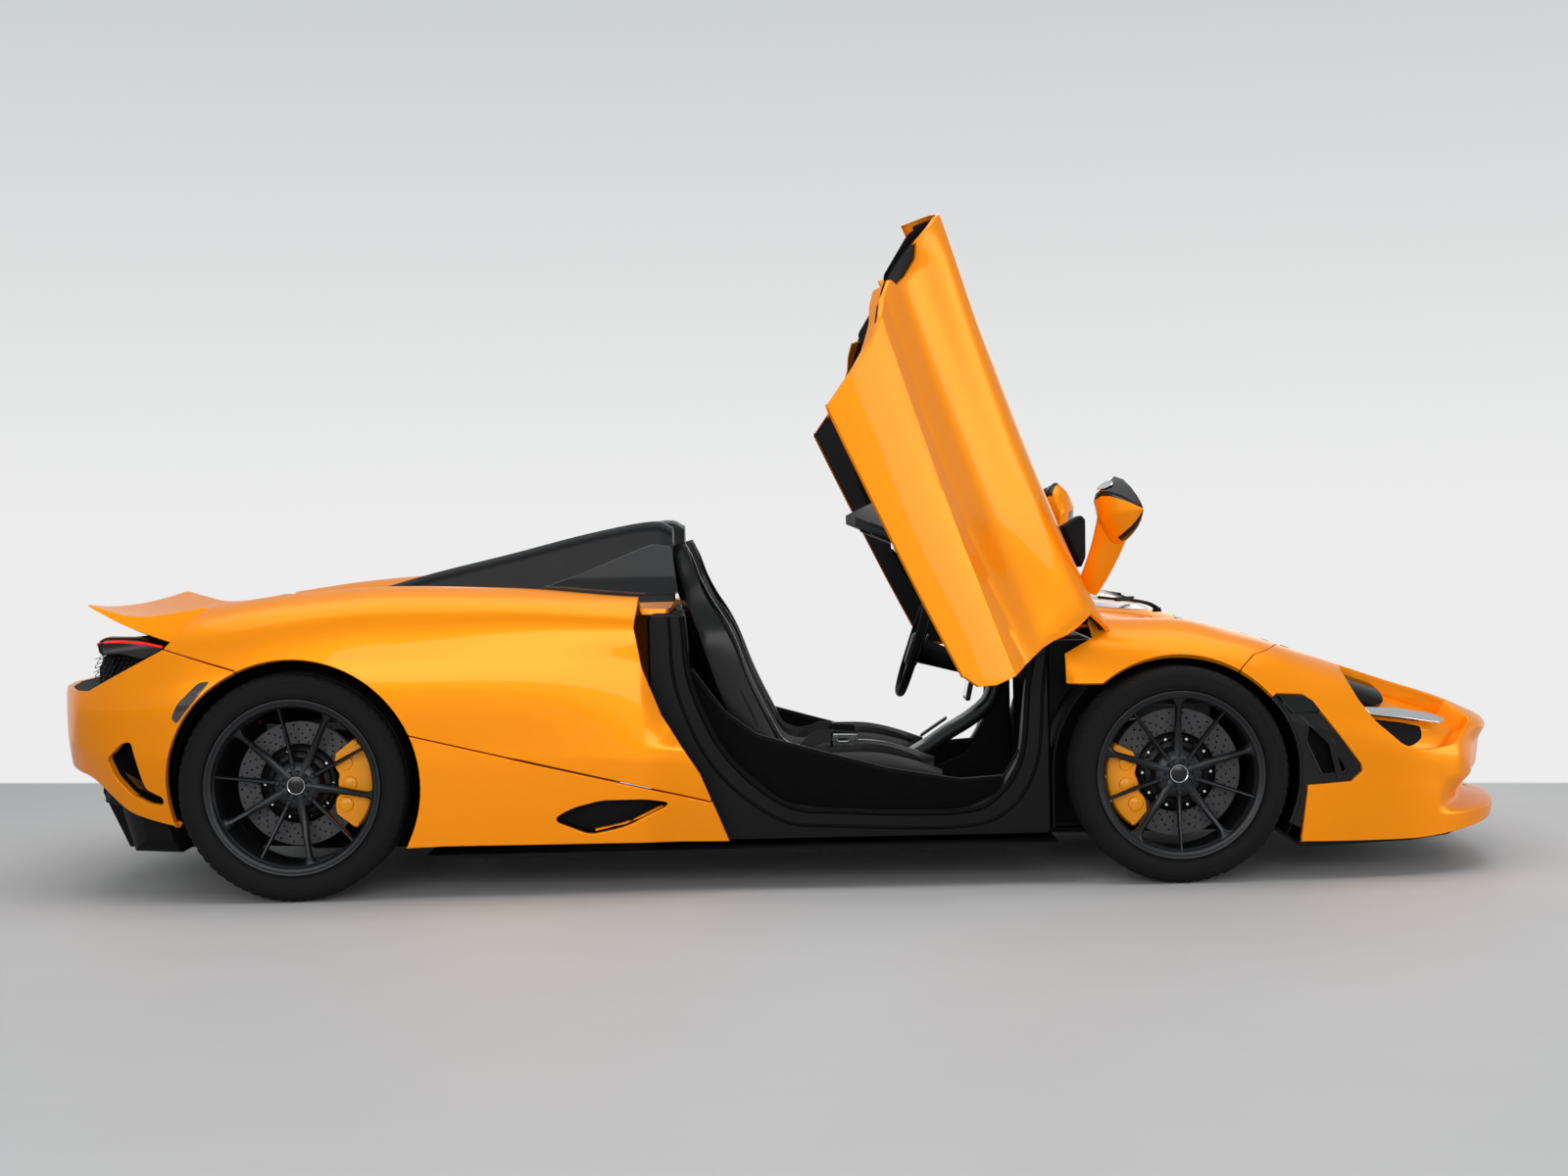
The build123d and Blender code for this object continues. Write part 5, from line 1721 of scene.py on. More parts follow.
def studs(profile, radius, angles, steps):
    """Small turned parts on a circle about the wheel's axis."""
    shape = Shape()
    for a in angles:
        shape.join(turned(profile, Matrix.Translation((radius * math.cos(a), radius * math.sin(a), 0)),
                          steps))
    return shape


def nut_shape(wheel):
    """Wheel nuts, set in the hub."""
    return studs([(0, 66), (6, 66), (9, 63), (10, 56), (12, 55), (12, 50), (0, 50)], NUT_CIRCLE,
                 [math.radians(wheel.wide_angle + 36 + 360 / NUTS * i) for i in range(NUTS)], 12)


def ring_shape():
    """Bright ring round the cap."""
    ring = [(CAP_R - 3.5, 61.5), (CAP_R - 3, 64.2), (CAP_R - 1, 65), (CAP_R, 63), (CAP_R, 58),
            (CAP_R - 3.5, 58)]
    return turned(ring, steps=48, closed=True)


def cap_shape():
    """Bare wheel cap."""
    return turned([(0, 65), (14, 64.4), (24, 63), (CAP_R - 3, 61.2), (CAP_R - 3, 55), (0, 55)], steps=48)


def disc_shape(wheel):
    """Two drilled faces with vanes between them."""
    shape, holes = Shape(), []
    outer, inner, face, count = wheel.disc_r, 114.0, 8.0, 28
    for radius, phase in ((127, 0.0), (140, 0.35), (153, 0.7), (166, 0.05), (179, 0.4)):
        for k in range(count):
            a = math.tau * (k + phase) / count
            holes.append([(radius * math.cos(a) + 2.6 * math.cos(t), radius * math.sin(a) + 2.6 * math.sin(t))
                          for t in around(8)])
    for low, high in ((DISC_FRONT - face, DISC_FRONT), (DISC_BACK, DISC_BACK + face)):
        rims = [[(radius * math.cos(a), radius * math.sin(a)) for a in around(96)] for radius in (outer,
                                                                                                  inner)]
        shape.join(prism(rims[0], low, high, upwards, 1.0, rims[1:] + holes))
    for a in around(40):
        vane = prism(((inner + 4, -2), (outer - 3, -2), (outer - 3, 2), (inner + 4, 2)), DISC_BACK + face,
                     DISC_FRONT - face, upwards, 0.3)
        shape.join(vane.moved(Matrix.Rotation(a, 4, "Z")))
    return shape


def bell_shape():
    """Black bell that carries the disc."""
    profile = [(36, HUB_BACK - 1), (88, HUB_BACK - 1), (98, 14), (102, 4), (114, 0), (122, DISC_FRONT + 3),
               (122, DISC_FRONT + 0.5), (100, DISC_FRONT + 0.5), (98, DISC_BACK), (94, DISC_BACK), (94, 6),
               (36, 8)]
    return turned(profile, steps=72, closed=True)


def pin_shape():
    """Small bright pins between bell and disc."""
    return studs([(0, 7), (4, 7), (5, 5.5), (5, -6), (0, -6)], PIN_R, around(10), 10)


def caliper_shape(wheel):
    """Caliper in three lobes, with its pots and bolts."""
    outer, middle, spread = wheel.barrel_r - 10, math.radians(wheel.caliper_angle), math.radians(38)
    rings, stations = [], 17
    for k in range(stations):
        t = 2 * k / (stations - 1) - 1
        a = middle + spread * t
        low = 126 + 9 * abs(math.sin(math.pi * 1.5 * (t + 1))) ** 0.8 * -1 + 16 * abs(t) ** 4 + 4
        top_r = outer - 8 * t ** 4
        plan = [(low + 4, 30), (low, 22), (low, DISC_FRONT + 6), (wheel.disc_r + 6, DISC_FRONT + 6),
                (wheel.disc_r + 6, DISC_BACK - 6), (low, DISC_BACK - 6), (low, -78), (top_r - 6, -80),
                (top_r, -72), (top_r, 16), (top_r - 7, 27), (top_r - 20, 31 - 3 * abs(t))]
        rings.append([Vector((r * math.cos(a), r * math.sin(a), z)) for r, z in plan])
    pots = studs([(0, 36), (19, 36), (22, 34), (24, 28), (0, 28)], 158,
                 [middle + spread * t for t in (-0.62, 0.0, 0.62)], 28)
    bolts = studs([(0, 35), (7, 35), (8, 33), (8, 20), (0, 20)], outer - 16,
                  [middle + spread * t for t in (-0.92, 0.92)], 6)
    return sweep(rings).join(pots).join(bolts)


def pad_shape(wheel):
    """Bridge pins and pads, seen between disc and caliper."""
    middle = math.radians(wheel.caliper_angle)
    shape = studs([(0, 24), (4, 24), (4, -60), (0, -60)], wheel.barrel_r - 9,
                  [middle + math.radians(33) * t for t in (-0.3, 0.3)], 10)
    for low, high in ((DISC_FRONT + 0.3, DISC_FRONT + 5.5), (DISC_BACK - 5.5, DISC_BACK - 0.3)):
        pad = [((PAD_R + PAD_WIDTH * r) * math.cos(middle + w),
                (PAD_R + PAD_WIDTH * r) * math.sin(middle + w))
               for r, w in ((0, -0.5), (1, -0.42), (1, 0.42), (0, 0.5))]
        shape.join(prism(pad, low, high, upwards, 0.5))
    return shape


class SUPERCAR_OT_wheels(bpy.types.Operator):
    """Make tyres, rims and brakes"""
    bl_idname = "supercar.wheels"
    bl_label = "Wheels"

    def execute(self, context):
        for wheel in (FRONT, REAR):
            for name, shape, finish, node, slot in (
                    ("tyre", tyre_shape(wheel), "tyre", "tyre_{}", None),
                    ("rim", rim_shape(wheel, context.scene.supercar_shape.spokes), "rim", "rim_{}", None),
                    ("wheel_nuts", nut_shape(wheel), "rim", "", "steel"),
                    ("cap_ring", ring_shape(), "chrome", "", "steel"),
                    ("wheel_cap", cap_shape(), "black", "", None),
                    ("drilled_disc", disc_shape(wheel), "disc", "disc_{}", None),
                    ("disc_bell", bell_shape(), "bell", "", None),
                    ("bell_pins", pin_shape(), "chrome", "", "steel")):
                for side_name, sign in (("right", -1), ("left", 1)):
                    which = f"{wheel.end}_{side_name}"
                    make(f"{name}_{which}", outward(shape.moved(wheel_place(wheel, sign))), finish,
                         node.format(which),
                         f"wheel_{which}", slot)
            for name, shape, finish, front, rear in (
                    ("caliper", caliper_shape(wheel), "caliper", "caliper_front_{}", "calipers_rear"),
                    ("brake_pads", pad_shape(wheel), "steel", "", "")):
                right = outward(shape.moved(wheel_place(wheel, -1)))
                if wheel is FRONT:
                    make_sides(f"{name}_front", right, finish, front, "knuckle_{}")
                else:
                    make(f"{name}_rear", right.paired(), finish, rear)
        return {"FINISHED"}


# ---- windscreen ----
SCREEN = (
    # y at the base, y at the head, base x, base z, head x, head z
    (-660, -620, 925, 828, 300, 1096),
    (-450, -430, 1110, 800, 372, 1124),
    (0, 0, 1255, 782, 418, 1140),
    (450, 430, 1110, 800, 372, 1124),
    (660, 620, 925, 828, 300, 1096),
)
PILLAR = ((930, -645, 812), (780, -644, 882), (620, -640, 952), (450, -632, 1022), (300, -618, 1086))


def screen_rows(count=40):
    """Base and head points of the windscreen from right to left."""
    table = np.array(SCREEN, float)
    rows = []
    for k in range(count + 1):
        t = -1 + 2 * k / count
        row = [np.interp(t, (-1, 1), (table[0][c], table[-1][c])) for c in (0, 1)]
        for column in (2, 3, 4, 5):
            edge, mid, quarter = table[0][column], table[2][column], table[1][column]
            curve = mid + (edge - mid) * t * t
            at = 450 / 660
            missing = quarter - (mid + (edge - mid) * at * at)
            row.append(curve + missing * (t * t * (1 - t * t)) / (at * at * (1 - at * at)))
        rows.append(row)
    return rows


def screen_sheet(low, high, under, over, steps=16):
    """Curved sheet between two shares of the screen's height."""
    rings = []
    for y0, y1, x0, z0, x1, z1 in screen_rows():
        ring = []
        for rise, order in ((under, range(steps + 1)), (over, range(steps, -1, -1))):
            for k in order:
                share = low + (high - low) * k / steps
                crown = 9.0 * math.sin(math.pi * min(max(share, 0), 1))
                ring.append(Vector((x0 + (x1 - x0) * share, y0 + (y1 - y0) * share,
                                    z0 + (z1 - z0) * share + rise + crown)))
        rings.append(ring)
    return sweep(rings)


def pillar_shape():
    """Right windscreen pillar."""
    path = smoothed(PILLAR, 4)
    return sweep([[p + Vector((0, y, z)) for y, z in oval(27.0, 24.0 - 2.0 * k / len(path), 0.6, 24)]
                  for k, p in enumerate(path)])


def wiper_shape():
    """Two wipers lying along the foot of the screen."""
    shape = Shape()
    for x, y, reach_x, reach_y in ((1195, 250, 1080, 560), (1195, -330, 1060, -590)):
        arm = smoothed(((x + 30, y, 806), (x, y * 1.05, 822), ((x + reach_x) / 2, (y + reach_y) / 2, 838),
                        (reach_x, reach_y, 844)), 5)
        shape.join(tube(arm, [7.0 - 3.0 * k / len(arm) for k in range(len(arm))], 8))
        side_way = 1 if reach_y > y else -1
        shape.join(tube(((x - 30, y - 120 * side_way, 838), (reach_x - 6, reach_y, 848),
                         (reach_x - 60, reach_y + 60 * side_way, 856)), 4.5, 8))
        shape.join(turned([(0, 16), (12, 14), (15, 4), (15, 0), (0, 0)], Matrix.Translation((x + 30, y, 794)),
                          20))
    return shape


class SUPERCAR_OT_screen(bpy.types.Operator):
    """Make the windscreen, its frame, the wipers and the inside mirror"""
    bl_idname = "supercar.screen"
    bl_label = "Windscreen"

    def execute(self, context):
        band = screen_sheet(0.02, 0.07, 5.4, 6.2, 3).join(screen_sheet(0.87, 0.93, 5.4, 6.2, 3))
        back = rounded(((-118, 1010), (-122, 1052), (-100, 1068), (100, 1068), (122, 1052), (118, 1010),
                        (95, 1000), (-95, 1000)), 18)
        mirror = prism(back, 392, 418, forwards, 8)
        mirror.join(tube(((414, 0, 1045), (420, 0, 1080), (412, 0, 1112)), 11, 12))
        for name, shape, *rest in (
                ("windscreen_glass", screen_sheet(0.02, 0.93, 0, 5), "glass", "windscreen"),
                ("windscreen_band", band, "black"),
                ("windscreen_surround", screen_sheet(0.935, 1.08, -26, 5, 5).join(pillar_shape().paired()),
                 "satin",
                 "windscreen_frame"),
                ("wipers", wiper_shape(), "trim"),
                ("inside_mirror", mirror, "black"),
                ("inside_mirror_glass", prism(shrunk(back, 8), 389.5, 392.5, forwards, 0.8), "mirror")):
            make(name, shape, *rest)
        return {"FINISHED"}


# ---- cabin ----
SIDE_FRAME = ((-396, 138), (828, 138), (828, 754), (800, 768), (762, 595), (740, 386), (669, 267), (548, 216),
              (189, 224), (10, 251), (-166, 405), (-266, 617), (-286, 785), (-290, 836), (-396, 836))
SEAL = ((-290, 830), (-286, 790), (-266, 617), (-166, 405), (10, 251), (189, 224), (548, 216), (669, 267),
        (740, 386), (762, 595), (786, 724))
SILL_TRIM = ((-270, 670), (-166, 528), (-66, 455), (134, 398), (335, 343), (560, 304), (718, 314), (742, 400),
             (744, 380), (672, 258), (548, 206), (189, 214), (4, 242), (-176, 396), (-282, 612))
BULKHEAD = ((-398, 150), (-284, 150), (-332, 820), (-398, 820))
DASH = ((975, 728), (735, 765), (665, 742), (655, 715), (672, 640), (822, 575), (975, 575))
ARM = ((440, 318), (500, 352), (560, 392), (640, 440), (700, 492), (728, 560))
TO_DRIVER = Vector((-math.cos(math.radians(STEERING_TILT)), 0.0, math.sin(math.radians(STEERING_TILT))))


def slab(outline, low, high, frame, radius=8.0, bevel=3.0):
    """Plate with rounded corners."""
    return prism(rounded(outline, radius), low, high, frame, bevel)


def tub_shape():
    """Side frames round the door openings, floor, bulkhead and footwell."""
    side_frame = prism(rounded(SIDE_FRAME, 22), -797, -650, across, 7)
    shape = side_frame.join(side_frame.mirrored())
    shape.join(slab(((-396, -645), (828, -645), (828, 645), (-396, 645)), 127, 148, upwards))
    shape.join(slab(BULKHEAD, -645, 645, across, 10, 5))
    for y in (-528, 512):
        shape.join(slab(((828, 148), (998, 148), (998, 720), (828, 720)), y, y + 16, across))
    shape.join(slab(((-528, 150), (528, 150), (528, 720), (-528, 720)), 984, 999, forwards))
    shape.join(slab(((828, -512), (984, -512), (984, 512), (828, 512)), 127, 147, upwards))
    return shape


SEAL_LIP = ((-40, 0), (-42, -4), (-44, -16), (-40, -34), (-24, -44), (-6, -46), (14, -46), (42, -38),
            (48, -16),
            (46, 0), (40, 4))


def seal_shape():
    """Rubber seal round the right door opening, with the lip beside it."""
    path = smoothed([(x, -799, z) for x, z in SEAL], 6)
    outer = smoothed([(x + dx, -798, z + dz) for (x, z), (dx, dz) in zip(SEAL, SEAL_LIP)], 6)
    return tube(path, 9.0, 12).join(tube(outer, 5.0, 8))


def arm_shape():
    """Console's floating arm, from the tunnel up to the dash."""
    rings = []
    path = smoothed([(x, 0, z) for x, z in ARM], 5)
    for k, p in enumerate(path):
        up = heading(path, k).cross(Vector((0, 1, 0)))
        up = up if up.z > 0 else -up
        rings.append([p + Vector((0, y, 0)) + up * rise for y,
                      rise in oval(82 + 12 * k / len(path), 23, 0.5, 32)])
    return sweep(rings)


def tunnel_shape():
    """Low tunnel between the seats, with a raised rear end."""
    rings = []
    for x, top_z, half in ((-268, 322, 108), (-262, 332, 112), (-100, 336, 112), (120, 336, 110),
                           (300, 330, 104),
                           (430, 322, 98), (500, 300, 92), (520, 240, 90), (524, 160, 90)):
        rings.append([Vector((x, half * p, 149 + (top_z - 149) * q)) for p, q in
                      ((-1, 0), (-1, 0.82), (-0.96, 0.93), (-0.86, 1), (0.86, 1), (0.96, 0.93), (1, 0.82),
                       (1, 0))])
    return sweep(rings)


def dash_shape():
    """Dashboard with a hood over the instruments."""
    rings = []
    for y in (-640, -634, -560, -420, -300, -180, 0, 160, 240, 300, 375, 450, 510, 560, 634, 640):
        hood = 26 * bump((y - 375) / 190)
        shrink = 0.96 if abs(y) == 640 else 1.0
        ring = []
        for x, z in rounded(DASH, 26):
            lift = hood if z > 690 and x < 860 else 0.0
            x = max(x, 670 + 0.3 * abs(y) / 10) if x < 700 else x
            limit = 800 if abs(y) > 505 else 975
            ring.append(Vector((min(x, limit), y, 655 + (z + lift - 655) * shrink)))
        rings.append(ring)
    return sweep(rings)


STEERING_SPOKES = ((-166, 14), (-60, 26), (60, 26), (166, 14), (162, -18), (70, -26), (34, -60), (26, -160),
                   (-26, -160), (-34, -60), (-70, -26), (-162, -18))
STEERING_PAD = ((-72, 34), (-52, 56), (52, 56), (72, 34), (58, -40), (34, -62), (-34, -62), (-58, -40))
PADDLE = ((78, 12), (150, 26), (152, 62), (104, 70), (74, 50))


def wheel_turn():
    """Place of the steering wheel: z towards the driver, y up."""
    right = Vector((0, -1, 0))
    up = TO_DRIVER.cross(right)
    turn = Matrix((right, up, TO_DRIVER)).transposed().to_4x4()
    return Matrix.Translation(STEERING_AT) @ turn


def steering_shapes():
    """Rim, spokes, pad, shift paddles and column of the steering wheel."""
    place = wheel_turn()
    path = []
    for a in around(72):
        squash = 1.0 - 0.06 * max(0.0, -math.sin(a)) ** 6
        path.append(place @ Vector((170 * math.cos(a), 170 * math.sin(a) * squash, 0)))
    rim = tube(path, [15.0 + 1.6 * max(0.0, math.sin(math.tau * k / 36)) for k in range(72)], 16, closed=True)

    def facing(p, q, height):
        return place @ Vector((p, q, height))

    spokes = prism(rounded(STEERING_SPOKES, 12), -9, 5, facing, 3)
    pad = prism(rounded(STEERING_PAD, 20), -26, 15, facing, 8)
    paddles = Shape()
    for s in (-1, 1):
        paddles.join(prism(rounded([(s * x, z) for x, z in PADDLE], 12), -30, -26, facing, 1))
    column = tube([STEERING_AT - TO_DRIVER * d for d in (24, 80, 180, 300)], [44, 40, 34, 34], 24)
    return rim, spokes, pad, paddles, column


STRAP = ((-318, -520, 850), (-250, -528, 820), (-170, -540, 720), (-112, -545, 600), (-60, -545, 470),
         (-10, -545, 380))
BUCKLE = ((166, 372), (166, 408), (178, 418), (250, 412), (256, 404), (252, 372), (240, 362), (180, 364))


def belt_shapes():
    """Right seat's belt: strap over the shoulder and lap, the buckle and its tongue."""
    strap = ribbon(smoothed(STRAP, 6), Vector((0.2, 1, 0.1)), 24, 1.2)
    lap = ribbon(smoothed(((60, -205, 350), (120, -180, 398), (178, -160, 404)), 5), Vector((0.3, 0.2, 1)),
                 20, 1.2)
    tongue = prism(rounded(((172, 368), (174, 408), (256, 406), (256, 366)), 5), -171, -167.5, across, 0.8,
                   [rounded(((190, 384), (190, 394), (226, 392), (226, 384)), 3)])
    return strap.join(lap), prism(rounded(BUCKLE, 6), -166, -150, across, 3), tongue


def ribbon(path, width_way, half, thickness):
    """Flat strap along a path."""
    rings = []
    for k, p in enumerate(path):
        along = heading(path, k)
        wide = (width_way - along * along.dot(width_way)).normalized()
        up = along.cross(wide)
        rings.append([p + wide * (half * a) + up * (thickness * b) for a,
                      b in ((-1, -1), (1, -1), (1, 1), (-1, 1))])
    return sweep(rings)


class SUPERCAR_OT_cabin(bpy.types.Operator):
    """Make the tub, sills, dashboard, console, steering wheel and belts"""
    bl_idname = "supercar.cabin"
    bl_label = "Cabin"

    def execute(self, context):
        rim, spokes, pad, paddles, column = steering_shapes()
        strap, buckle, tongue = belt_shapes()
        display = slab(((-84, 500), (-84, 700), (84, 700), (84, 500)), -8, 6, self.leaning, 14)
        glass = slab(((-74, 512), (-74, 690), (74, 690), (74, 512)), -11, -7, self.leaning, 6, 1)
        dials = slab(((285, 668), (285, 738), (465, 738), (465, 668)), 640, 650, forwards, 8, 2)
        vents, pedals = Shape(), Shape()
        for y in (-560, -230, 200, 555):
            vents.join(slab(((y - 50, 660), (y - 54, 700), (y + 54, 700), (y + 50, 660)), 652, 672, forwards))
        for y, high in ((300, 300), (395, 310)):
            pedals.join(slab(((y - 30, 200), (y - 30, high), (y + 30, high), (y + 30, 200)), 925, 937,
                             forwards, 10))
        for name, shape, *rest in (
                ("tub_lining", tub_shape(), "jamb", "tub"),
                ("sill_trim", prism(rounded(SILL_TRIM, 14), -700, -652, across, 10).paired(), "suede"),
                ("door_seals", seal_shape().paired(), "seal"),
                ("cabin_carpet", slab(((-300, -640), (820, -640), (820, 640), (-300, 640)), 148, 153,
                                      upwards), "carpet"),
                ("console_tunnel", tunnel_shape(), "suede", "console"),
                ("console_arm", arm_shape(), "satin"),
                ("console_switches", slab(((470, -20), (470, 20), (560, 20), (560, -20)), 0, 10, self.on_arm),
                 "satin"),
                ("dashboard_skin", dash_shape(), "leather", "dashboard"),
                ("display_bezel", display, "satin"),
                ("display_glass", glass.join(dials), "screen"),
                ("dash_vents", vents, "trim"),
                ("pedals", pedals, "alloy"),
                ("steering_column", column, "trim"),
                ("belt_straps", strap.paired(), "webbing"),
                ("belt_buckles", buckle.paired(), "trim"),
                ("belt_tongues", tongue.paired(), "chrome"),
                ("steering_grip", rim, "suede", "steering_wheel", "steering"),
                ("steering_spokes", spokes, "satin", "", "steering"),
                ("steering_pad", pad, "leather", "", "steering"),
                ("shift_paddles", paddles, "carbon", "", "steering")):
            make(name, shape, *rest)
        return {"FINISHED"}

    @staticmethod
    def leaning(p, q, height):
        """The display stands ahead of the arm, turned a little up."""
        return Vector((650 + height + (q - 600) * 0.22, p, q))

    @staticmethod
    def on_arm(p, q, height):
        """On top of the console's arm."""
        return Vector((p, q, 352 + (p - 460) * 0.66 + 18 + height))


# ---- seats ----
SEAT_Y = 370.0
SEAT_PATH = (
    # x, z of the seat's inner face, direction it faces, half width, bolster height
    (505, 296, 0.10, 0.99, 196, 30), (400, 284, 0.05, 1.0, 204, 78), (300, 272, 0.0, 1.0, 208, 112),
    (170, 258, 0.05, 1.0, 210, 128), (80, 256, 0.25, 0.97, 210, 126), (0, 285, 0.6, 0.8, 208, 110),
    (-60, 345, 0.82, 0.57, 206, 88), (-100, 430, 0.91, 0.41, 205, 82), (-160, 560, 0.92, 0.39, 208, 80),
    (-205, 690, 0.93, 0.37, 212, 76), (-232, 770, 0.94, 0.34, 205, 66), (-260, 850, 0.94, 0.33, 170, 48),
    (-282, 920, 0.95, 0.30, 126, 38), (-300, 990, 0.96, 0.28, 108, 32), (-314, 1045, 0.96, 0.27, 96, 20),
)


def seat_places(count):
    """Path of the seat, smoothed: place, facing direction, half width, bolster height."""
    table = np.array(SEAT_PATH)
    fine = []
    for k in range(count + 1):
        t = k / count * (len(table) - 1)
        i = min(int(t), len(table) - 2)
        row = [hermite(table[i][c], table[i + 1][c], slope(table, i, c), slope(table, i + 1, c), t - i)
               for c in range(6)]
        facing = Vector((row[2], 0, row[3])).normalized()
        fine.append((Vector((row[0], -SEAT_Y, row[1])), facing, row[4], row[5]))
    return fine


def slope(table, i, column):
    """Rise per row of a table's column."""
    low, high = max(i - 1, 0), min(i + 1, len(table) - 1)
    return (table[high][column] - table[low][column]) / (high - low)


def shell_shape():
    """Right seat's carbon shell, a trough with raised sides."""
    rings = []
    for p, n, half, side_up in seat_places(56):
        section = [(half + 30, side_up), (half + 36, side_up * 0.5), (half + 30, -14), (half - 4, -36),
                   (0, -42)]
        section += [(-a, b) for a, b in section[-2::-1]]
        inner = [(half + 18, side_up - 1), (half + 14, side_up * 0.5), (half + 2, 0), (half - 30, -20),
                 (0, -28)]
        section += [(-a, b) for a, b in inner[:-1]] + [inner[-1]] + inner[-2::-1]
        rings.append([p + Vector((0, a, 0)) + n * b for a, b in section])
    return sweep(rings)


def pad_body(first, last, wide, low, high, crown, shift=0.0):
    """Closed cushion along part of the seat's path, crowned, its ends drawn in."""
    picked = [place for k, place in enumerate(seat_places(84)) if first <= k / 84 <= last]
    rings = []
    for k, (p, n, half, side_up) in enumerate(picked):
        end_in = (1 - (2 * k / (len(picked) - 1) - 1) ** 8) ** 0.5
        half_wide = wide if shift else wide * half
        top_z = high * side_up if shift else high
        ring = []
        for a in around(28):
            c, d = math.cos(a), math.sin(a)
            over = math.copysign(abs(c) ** 0.55, c) * half_wide * (0.86 + 0.14 * end_in)
            rise = (low + top_z) / 2 + math.copysign(abs(d) ** 0.7, d) * (top_z - low) / 2 * max(end_in, 0.12)
            rise += crown * (1 - (over / half_wide) ** 2) * max(0.0, d) * end_in
            ring.append(p + Vector((0, shift * (half + 2) + over, 0)) + n * rise)
        rings.append(ring)
    return sweep(rings)


VOXEL, CLOTH_FRAMES, CAP = 0.006, 20, 0.012


def stuffed(piece, pressure):
    """Swell a pad by cloth simulation, holding every point within the cap."""
    remesh = piece.modifiers.new("voxels", "REMESH")
    remesh.mode, remesh.voxel_size = "VOXEL", VOXEL
    flatten_modifiers(piece)
    start = np.empty(len(piece.data.vertices) * 3)
    piece.data.vertices.foreach_get("co", start)
    cloth = piece.modifiers.new("cloth", "CLOTH")
    cloth.settings.use_pressure = True
    cloth.settings.uniform_pressure_force = pressure
    cloth.settings.effector_weights.gravity = 0.0
    cloth.point_cache.frame_start, cloth.point_cache.frame_end = 1, CLOTH_FRAMES
    for number in range(1, CLOTH_FRAMES + 1):
        bpy.context.scene.frame_set(number)
    flatten_modifiers(piece)
    bpy.context.scene.frame_set(1)
    end_at = np.empty_like(start)
    piece.data.vertices.foreach_get("co", end_at)
    move = (end_at - start).reshape(-1, 3)
    size = np.linalg.norm(move, axis=1, keepdims=True)
    move *= np.minimum(1.0, CAP / np.maximum(size, 1e-9))
    piece.data.vertices.foreach_set("co", (start.reshape(-1, 3) + move).ravel())
    piece.data.update()
    smooth = piece.modifiers.new("smooth", "SUBSURF")
    smooth.levels = smooth.render_levels = 1
    flatten_modifiers(piece)


def channelled(piece, lines, depth=0.006, reach=0.007):
    """Press sewn channels across the pad where it crosses the given heights along z or x."""
    mesh = piece.data
    spots = np.empty(len(mesh.vertices) * 3)
    ways = np.empty(len(mesh.vertices) * 3)
    mesh.vertices.foreach_get("co", spots)
    mesh.vertices.foreach_get("normal", ways)
    spots, ways = spots.reshape(-1, 3), ways.reshape(-1, 3)
    for axis, at in lines:
        near = np.clip(1 - np.abs(spots[:, axis] - at * MM) / reach, 0, 1)
        spots -= ways * (near * near * (3 - 2 * near) * depth)[:, None]
    mesh.vertices.foreach_set("co", spots.ravel())
    mesh.update()


class SUPERCAR_OT_seats(bpy.types.Operator):
    """Make both seats, their pads swollen by cloth simulation"""
    bl_idname = "supercar.seats"
    bl_label = "Seats"

    def execute(self, context):
        make("seat_shells", shell_shape().paired(), "carbon", "seats")
        for name, shape, finish, lines in (
                ("seat_cushion", pad_body(0.02, 0.27, 0.80, -18, 26, 10), "suede",
                 ((0, 420), (0, 320), (0, 220))),
                ("seat_back", pad_body(0.40, 0.73, 0.78, -20, 22, 8), "suede",
                 ((2, 440), (2, 520), (2, 600), (2, 680))),
                ("shoulder_pad", pad_body(0.73, 0.85, 0.82, -20, 14, 6), "suede", ()),
                ("head_pad", pad_body(0.86, 1.0, 0.86, -18, 18, 10), "suede", ()),
                ("bolster_outer", pad_body(0.02, 0.78, 22.0, 0.0, 0.94, 0, -1.0), "leather", ()),
                ("bolster_inner", pad_body(0.02, 0.78, 22.0, 0.0, 0.94, 0, 1.0), "leather", ())):
            piece = make(f"{name}_right", shape, finish, slot="suede")
            stuffed(piece, context.scene.supercar_shape.pressure)
            channelled(piece, lines)
            piece.data.materials.clear()
            piece.data.materials.append(M[finish])
            piece.data.polygons.foreach_set("use_smooth", [True] * len(piece.data.polygons))
            mesh = piece.data.copy()
            mesh.transform(Matrix.Diagonal((1, -1, 1, 1)))
            mesh.flip_normals()
            twin = linked(f"{name}_left", mesh)
            finish_piece(twin, "chassis")
        return {"FINISHED"}


# ---- stage ----
WALL_LOW, WALL_HIGH = "EDEDED", "C3C9CA"
FLOOR_END, FLOOR_SKEW = 2.23, 0.207                      # where floor and wall meet, metres, and its skew
AIM = (0.024, -0.965, 0.915)                             # what the camera looks at on the near side, metres
SEEN_BY = ("Is Camera Ray", "Is Glossy Ray", "Is Transmission Ray")


class StageSettings(bpy.types.PropertyGroup):
    """Floor, light and camera"""
    distance: bpy.props.FloatProperty(name="Distance", description="Camera to the car's side", default=8.0,
                                      unit="LENGTH")
    height: bpy.props.FloatProperty(name="Height", description="Camera above the floor", default=1.15,
                                    unit="LENGTH")
    roll: bpy.props.FloatProperty(name="Roll", description="Turn about the view axis",
                                  default=math.radians(1.225),
                                  subtype="ANGLE")
    lens: bpy.props.FloatProperty(name="Lens", description="Focal length on a 36 mm sensor, in millimetres",
                                  default=61.5)


def area_light(name, at, aim, size, power):
    """Soft rectangular lamp aimed at a point."""
    data = bpy.data.lights.new(name, "AREA")
    data.shape, data.size, data.size_y = "RECTANGLE", *size
    data.energy = power
    lamp = linked(name, data)
    lamp.location = at
    lamp.rotation_euler = (Vector(aim) - Vector(at)).to_track_quat("-Z", "Y").to_euler()


